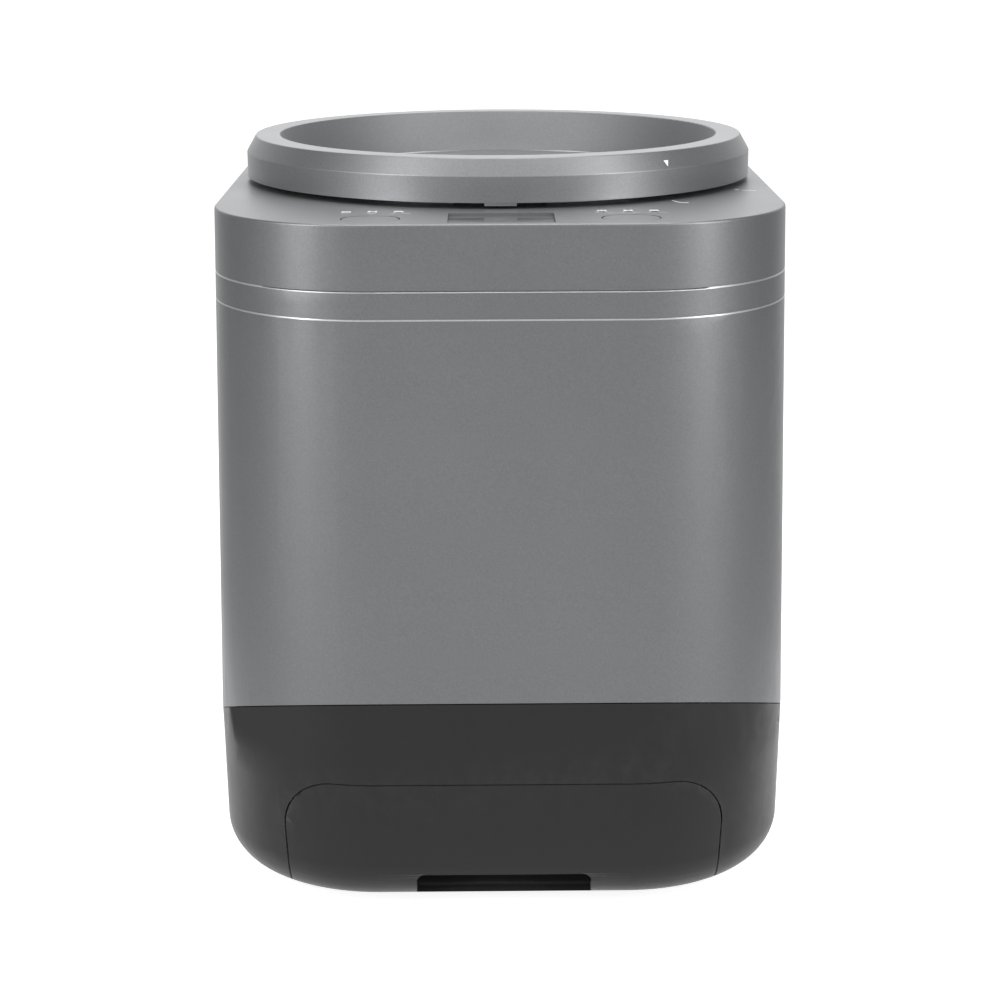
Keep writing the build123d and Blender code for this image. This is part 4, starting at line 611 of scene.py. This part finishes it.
def shade_as_shell(piece):
    """The base's upper wall takes its normals from the shell above, whose wall it carries on."""
    low, high = base_wall_levels
    wall = piece.vertex_groups.new(name="upper_wall")
    for point in piece.data.vertices:
        weight = (point.co.z - low) / (high - low)
        if weight > 0:
            wall.add([point.index], min(1.0, weight), "REPLACE")
    lowered = loose_copy(bpy.data.objects["outer_shell_finished"])
    lowered.location.z -= shell_drop
    settle(lowered)
    borrow = piece.modifiers.new("borrowed", "DATA_TRANSFER")
    borrow.object = lowered
    borrow.use_loop_data = True
    borrow.data_types_loops = {"CUSTOM_NORMAL"}
    borrow.loop_mapping = "NEAREST_POLYNOR"
    borrow.vertex_group = wall.name
    alone(piece)
    bpy.ops.object.modifier_apply(modifier=borrow.name)
    piece.vertex_groups.clear()
    alone(lowered)
    bpy.ops.object.delete()
    alone(piece)


def smoothed(name, material):
    """Copy of a curved CAD node with its points welded, shaded smooth up to its real edges."""
    piece = loose_copy(cad_nodes[name])
    bpy.ops.object.mode_set(mode="EDIT")
    bpy.ops.mesh.select_all(action="SELECT")
    bpy.ops.mesh.remove_doubles(threshold=weld_reach)
    if name in merge_angles:
        bpy.ops.mesh.dissolve_limited(angle_limit=radians(merge_angles[name]))
    bpy.ops.object.mode_set(mode="OBJECT")
    bpy.ops.object.shade_smooth_by_angle(angle=smooth_angle)
    weights = piece.modifiers.new("normals", "WEIGHTED_NORMAL")
    weights.keep_sharp = True
    weights.weight = 100
    bpy.ops.object.modifier_apply(modifier=weights.name)
    if name == "base_shell":
        shade_as_shell(piece)
    return hand_in(piece, name + "_finished", material, body_of_node(name), node_slots[name], name)


def refinish(name, material, chosen):
    """Gives the chosen faces of a finished piece another material."""
    piece = bpy.data.objects[name + "_finished"]
    piece.data.materials.append(material)
    for face in piece.data.polygons:
        if chosen(face.center, face.normal):
            face.material_index = len(piece.data.materials) - 1


line_zone = 60 * MM                   # the fine lines lie within this of the deck
bevel_slopes = (0.15, 0.9)            # upward share of a bevel's normal, at least and at most
dish_inward, dish_upward = 0.2, 0.1   # least shares of the dish wall's normal


def on_line_bevel(place, normal):
    """Bevels of the two fine lines round the shell, which take the painted highlight."""
    return bevel_slopes[0] < normal.z < bevel_slopes[1] and place.z > deck_z - line_zone


def on_dish_wall(place, normal):
    """Sloping wall of the lid's dish, which faces inwards and up."""
    inward = Vector((lid_x - place.x, lid_y - place.y, 0)).normalized()
    return normal.dot(inward) > dish_inward and normal.z > dish_upward and place.z > deck_z


curved_nodes = ["outer_shell", "top_cover", "lid_ring", "lid_dish_floor", "base_shell", "drawer_front",
                "key_left", "key_right", "rubber_feet", "bucket", "bucket_grips", "chamber_liner",
                "power_inlet", "rear_grille", "agitator_blades", "fan_impeller", "fan_frame",
                "lid_gasket", "lid_seal_plate", "lid_screws"]
for name in curved_nodes:
    smoothed(name, finish_of(name))
# The bevels of the fine lines take the paler paint: painted highlight.
refinish("outer_shell", highlight_paint, on_line_bevel)
# The dish wall takes the darker copy of the lid paint: painted shade.
refinish("lid_ring", shaded_dish_paint, on_dish_wall)

# ---------------------------------------------------------------- printed marks, and dark bars of painted shade
ink_thick = 0.06 * MM
ink_lift = 0.01 * MM
bar_round = 0.42              # a bar's corner radius as a share of its lesser side
bar_round_steps = 3


def flat_bar(x, y, width, depth, turn=0.0):
    """Thin rounded bar of ink lying on the deck."""
    alone()
    bpy.ops.mesh.primitive_cube_add(size=1, location=(x, y, deck_z + ink_lift + ink_thick / 2))
    bar = bpy.context.object
    bar.scale = (width, depth, ink_thick)
    bar.rotation_euler = (0, 0, turn)
    settle(bar)
    bpy.ops.object.mode_set(mode="EDIT")
    bpy.ops.mesh.select_all(action="DESELECT")
    bpy.ops.mesh.select_mode(type="EDGE")
    bpy.ops.object.mode_set(mode="OBJECT")
    for edge in bar.data.edges:
        a, b = (bar.data.vertices[v].co for v in edge.vertices)
        edge.select = abs(a.z - b.z) > ink_thick / 2
    bpy.ops.object.mode_set(mode="EDIT")
    bpy.ops.mesh.bevel(offset=min(width, depth) * bar_round, segments=bar_round_steps)
    bpy.ops.object.mode_set(mode="OBJECT")
    return bar


def thicken(piece):
    """Gives a flat shape the ink's thickness, upwards."""
    alone(piece)
    solid = piece.modifiers.new("ink", "SOLIDIFY")
    solid.thickness = ink_thick
    solid.offset = 1
    bpy.ops.object.modifier_apply(modifier=solid.name)
    bpy.ops.object.mode_set(mode="EDIT")
    bpy.ops.mesh.select_all(action="SELECT")
    bpy.ops.mesh.normals_make_consistent(inside=False)
    bpy.ops.object.mode_set(mode="OBJECT")


light_y = (lights_low.y + lights_high.y) / 2
light_pitch = 12.0 * MM
left_key_x = (left_key_low.x + left_key_high.x) / 2
right_key_x = (right_key_low.x + right_key_high.x) / 2
icon_back = 2.4 * MM          # icon strokes behind the light pipes
shade_front = 2.7 * MM        # painted shade in front of them: a dark bar
line_front = 5.4 * MM         # fine line in front of that
shade_size = (3.2 * MM, 1.9 * MM)
line_size = (3.6 * MM, 1.2 * MM)
long_line_size = (9.0 * MM, 0.7 * MM)
long_line_shift = 1.0 * MM


def strokes(x, *places):
    """Short strokes behind a light pipe: (offset to the right, width, depth, turn) of each, in mm."""
    return [flat_bar(x + right * MM, light_y + icon_back, width * MM, depth * MM, turn)
            for right, width, depth, turn in places]


def icon_level(x):
    """One level bar: dry."""
    return strokes(x, (0.0, 4.0, 0.5, 0.0))


def icon_ears(x):
    """Two leaning strokes that open upwards: ferment."""
    return strokes(x, (-1.5, 0.7, 2.0, 0.35), (1.5, 0.7, 2.0, -0.35))


def icon_cross(x):
    """Bar with a short stroke through it: grind."""
    return strokes(x, (0.0, 4.2, 0.6, 0.0), (0.9, 0.6, 1.8, 0.0))


def icon_drops(x):
    """Three upright strokes: wash."""
    return strokes(x, (-1.6, 0.7, 1.6, 0.0), (0.0, 0.7, 1.9, 0.0), (1.6, 0.7, 1.6, 0.0))


def icon_waves(x):
    """Two strokes that lean the same way: dry off."""
    return strokes(x, (-1.3, 1.3, 1.4, 0.5), (1.5, 0.8, 2.0, 0.3))


def icon_box(x):
    """Bar between two short ends: filter."""
    return strokes(x, (0.0, 3.4, 0.6, 0.0), (-1.6, 0.5, 1.6, 0.0), (1.6, 0.5, 1.6, 0.0))


icon_rows = ((left_key_x, (icon_level, icon_ears, icon_cross)),
             (right_key_x, (icon_drops, icon_waves, icon_box)))
long_lined = (icon_cross, icon_drops, icon_waves, icon_box)
icons, shades, lines = [], [], []
for key_x, row in icon_rows:
    for step, icon in zip((-1, 0, 1), row):
        x = key_x + step * light_pitch
        icons += icon(x)
        shades.append(flat_bar(x, light_y - shade_front, *shade_size))
        lines.append(flat_bar(x, light_y - line_front, *line_size))
        if icon in long_lined:
            lines.append(flat_bar(x + long_line_shift, light_y - line_front, *long_line_size))
hand_in(joined(icons), "deck_icons", white_ink, "housing", "light_plastic")
# Painted shade: dark bars in front of the light pipes stand in for the shade of small recesses.
hand_in(joined(shades), "deck_shades", shade_ink, "housing", "window_plastic")
hand_in(joined(lines), "deck_underlines", pale_ink, "housing", "light_plastic")


def stroke_between(start, end, line=0.8):
    """Ink stroke on the deck from one point to another, in mm."""
    across, along = end[0] - start[0], end[1] - start[1]
    middle = ((start[0] + end[0]) / 2 * MM, (start[1] + end[1]) / 2 * MM)
    return flat_bar(*middle, (across ** 2 + along ** 2) ** 0.5 * MM, line * MM, atan2(along, across))


open_mark = [stroke_between((81.3, -78.3), (84.1, -86.0), 0.7),
             stroke_between((83.9, -86.0), (88.4, -87.0), 1.0)]
shut_mark = [stroke_between((115.0, -39.6), (117.0, -40.0), 1.4),
             stroke_between((118.6, -41.2), (125.0, -43.4), 1.0)]
hand_in(joined(open_mark + shut_mark), "lock_marks", white_ink, "housing", "light_plastic")

pointer_turn = radians(38.5)
pointer_rise = 3.4 * MM       # up the bevel from its lower edge
pointer_size = (3.0 * MM, 3.2 * MM)
bevel_width = 4.7 * MM
bevel_height = 8.1 * MM


def make_pointer():
    """White triangle on the lid's bevel that points down at the lock marks."""
    outward = Vector((sin(pointer_turn), -cos(pointer_turn), 0))
    across = Vector((cos(pointer_turn), sin(pointer_turn), 0))
    up_slope = (Vector((0, 0, bevel_height)) - outward * bevel_width).normalized()
    normal = across.cross(up_slope)
    edge = Vector((lid_x, lid_y, lid_top - bevel_height)) + outward * (ring_high.x - lid_x)
    middle = edge + up_slope * pointer_rise + normal * ink_lift
    alone()
    bpy.ops.mesh.primitive_circle_add(vertices=3, radius=1.0, fill_type="NGON", rotation=(0, 0, pi))
    triangle = bpy.context.object
    settle(triangle)
    triangle.scale = (pointer_size[0] / (2 * sin(pi / 3)), pointer_size[1] / 1.5, 1)
    settle(triangle)
    thicken(triangle)
    axes = Matrix((across, up_slope, normal)).transposed().to_4x4()
    triangle.matrix_world = Matrix.Translation(middle) @ axes
    settle(triangle)
    return triangle


hand_in(make_pointer(), "lid_pointer", white_ink, body_of_node("lid_ring"), "light_plastic")

# ---------------------------------------------------------------- camera
lens_mm = 82.8
sensor_mm = 36.0
look_down = radians(14.80)
look_right = 0.0092           # radians
roll = -0.0038                # radians
camera_from_lid = Vector((-10.52, -1185.07, 118.03)) * MM

camera_data = bpy.data.cameras.new("camera")
camera_data.lens = lens_mm
camera_data.sensor_width = sensor_mm
camera_data.clip_start = 0.05
camera_data.clip_end = 50.0
camera = bpy.data.objects.new("camera", camera_data)
bpy.context.scene.collection.objects.link(camera)
aimed = Matrix.Rotation(-look_right, 4, "Z") @ Matrix.Rotation(pi / 2 - look_down, 4, "X")
turn = aimed @ Matrix.Rotation(roll, 4, "Z")
camera.matrix_world = Matrix.Translation(Vector((lid_x, lid_y, lid_top)) + camera_from_lid) @ turn
bpy.context.scene.camera = camera
bpy.context.scene.view_settings.view_transform = "Standard"

# ---------------------------------------------------------------- floor, lamps and world
floor_reach = 40.0
floor_drop = 0.2 * MM         # keeps the floor clear of the feet's faces
floor_lift = 0.85
floor_greys = (0.60, 0.63)
near_floor = (0.20, 0.34)     # distances over which the floor's front goes from its near level to its far one
round_floor = (0.25, 0.55)    # distances over which the floor comes to differ round the object
near_turn_away, near_turn_back = radians(50), radians(100)

sky_low, sky_high = 1.25, 0.6      # front of the studio near the floor and high up
sky_turn = (0.3, 0.7)              # upward share of a direction at which it turns from one to the other
floor_near, floor_front = 0.9, 0.25
back_level = 1.3
diffuse_share = 0.60               # of the world's level that lights what isn't mirrored
turn_away, turn_back = radians(95), radians(165)   # from the front's level to the back's
flank_angle = radians(112)
flank_width = radians(50)
flank_dip = 1.0


def studio_level(hand, vector, front_level, turn_from, turn_to, dip_depth):
    """Brightness of the studio by the way round from the front: plain, with dim flanks and a bright back."""
    across, along, _ = hand.axes(vector)
    side = hand.math("ABSOLUTE", across)
    way_round = hand.math("ARCTAN2", side, hand.math("MULTIPLY", along, -1.0))
    off_flank = hand.math("ABSOLUTE", hand.math("SUBTRACT", way_round, flank_angle))
    dip = hand.span(off_flank, flank_width, 0.0, 0.0, dip_depth)
    plain = hand.span(way_round, turn_from, turn_to, front_level, back_level)
    return hand.math("MAXIMUM", hand.math("SUBTRACT", plain, dip), 0.0)


def make_floor():
    """Large pale floor that meets the white background and keeps the shadow."""
    alone()
    bpy.ops.mesh.primitive_plane_add(size=floor_reach, location=(0, 0, -floor_drop))
    floor = bpy.context.object
    floor.name = "floor"
    settle(floor)
    material = bpy.data.materials.new("Pale floor")
    material.use_nodes = True
    hand = Tree(material.node_tree)
    shader = material.node_tree.nodes["Principled BSDF"]
    shader.inputs["Roughness"].default_value = 0.9
    shader.inputs["Specular IOR Level"].default_value = 0.0
    path = hand.add("ShaderNodeLightPath")
    place = hand.place()
    reach = hand.add("ShaderNodeVectorMath", operation="LENGTH")
    hand.feed(reach.inputs[0], place)
    away = reach.outputs["Value"]
    front = hand.span(away, *near_floor, floor_near, floor_front)
    dip = hand.span(away, *round_floor, 0.0, flank_dip)
    turn_from = hand.span(away, *round_floor, near_turn_away, turn_away)
    turn_to = hand.span(away, *round_floor, near_turn_back, turn_back)
    level = studio_level(hand, place, front, turn_from, turn_to, dip)
    mirrored = hand.math("MULTIPLY", path.outputs["Is Glossy Ray"], level)
    seen = hand.math("ADD", path.outputs["Is Camera Ray"], mirrored, clamp=True)
    lift = hand.math("MULTIPLY", seen, floor_lift)
    fine = hand.noise(place, 240.0, 3.0, 0.6)
    hand.feed(shader.inputs["Base Color"], hand.mix(fine, *map(grey, floor_greys)))
    shader.inputs["Emission Color"].default_value = (1, 1, 1, 1)
    hand.feed(shader.inputs["Emission Strength"], lift)
    floor.data.materials.append(material)


def make_lamp(name, azimuth, height, distance, size, power, aim):
    """Soft box at an azimuth from the front, towards +X, aimed at a height on the object."""
    data = bpy.data.lights.new(name, "AREA")
    data.shape = "RECTANGLE"
    data.size, data.size_y = size
    data.energy = power
    lamp = bpy.data.objects.new(name, data)
    bpy.context.scene.collection.objects.link(lamp)
    turn = radians(azimuth)
    spot = Vector((distance * sin(turn), -distance * cos(turn), height))
    facing = (Vector((0, 0, aim)) - spot).to_track_quat("-Z", "Y")
    lamp.matrix_world = Matrix.Translation(spot) @ facing.to_matrix().to_4x4()
    lamp.visible_camera = False


def make_world():
    """White to the eye; a plain level with dimmer sides for light and reflections."""
    world = bpy.data.worlds.new("studio")
    bpy.context.scene.world = world
    world.use_nodes = True
    hand = Tree(world.node_tree)
    background = world.node_tree.nodes["Background"]
    way = hand.add("ShaderNodeTexCoord").outputs["Generated"]
    front = hand.span(hand.axes(way)[2], *sky_turn, sky_low, sky_high)
    level = studio_level(hand, way, front, turn_away, turn_back, flank_dip)
    path = hand.add("ShaderNodeLightPath")
    plain = hand.math("MAXIMUM", path.outputs["Is Camera Ray"], path.outputs["Is Transmission Ray"])
    glossy = path.outputs["Is Glossy Ray"]
    lit = hand.math("MULTIPLY", level, hand.span(glossy, 0, 1, diffuse_share, 1.0))
    strength = hand.math("MAXIMUM", plain, lit)
    background.inputs["Color"].default_value = (1, 1, 1, 1)
    hand.feed(background.inputs["Strength"], strength)


make_floor()
for side, azimuth in (("left", -50), ("right", 54)):
    make_lamp(side + " strip", azimuth, height=0.95, distance=1.7, size=(0.44, 1.5), power=21, aim=0.25)
make_lamp("top box", azimuth=0, height=2.1, distance=0.30, size=(1.8, 1.2), power=27, aim=0.3)
make_world()
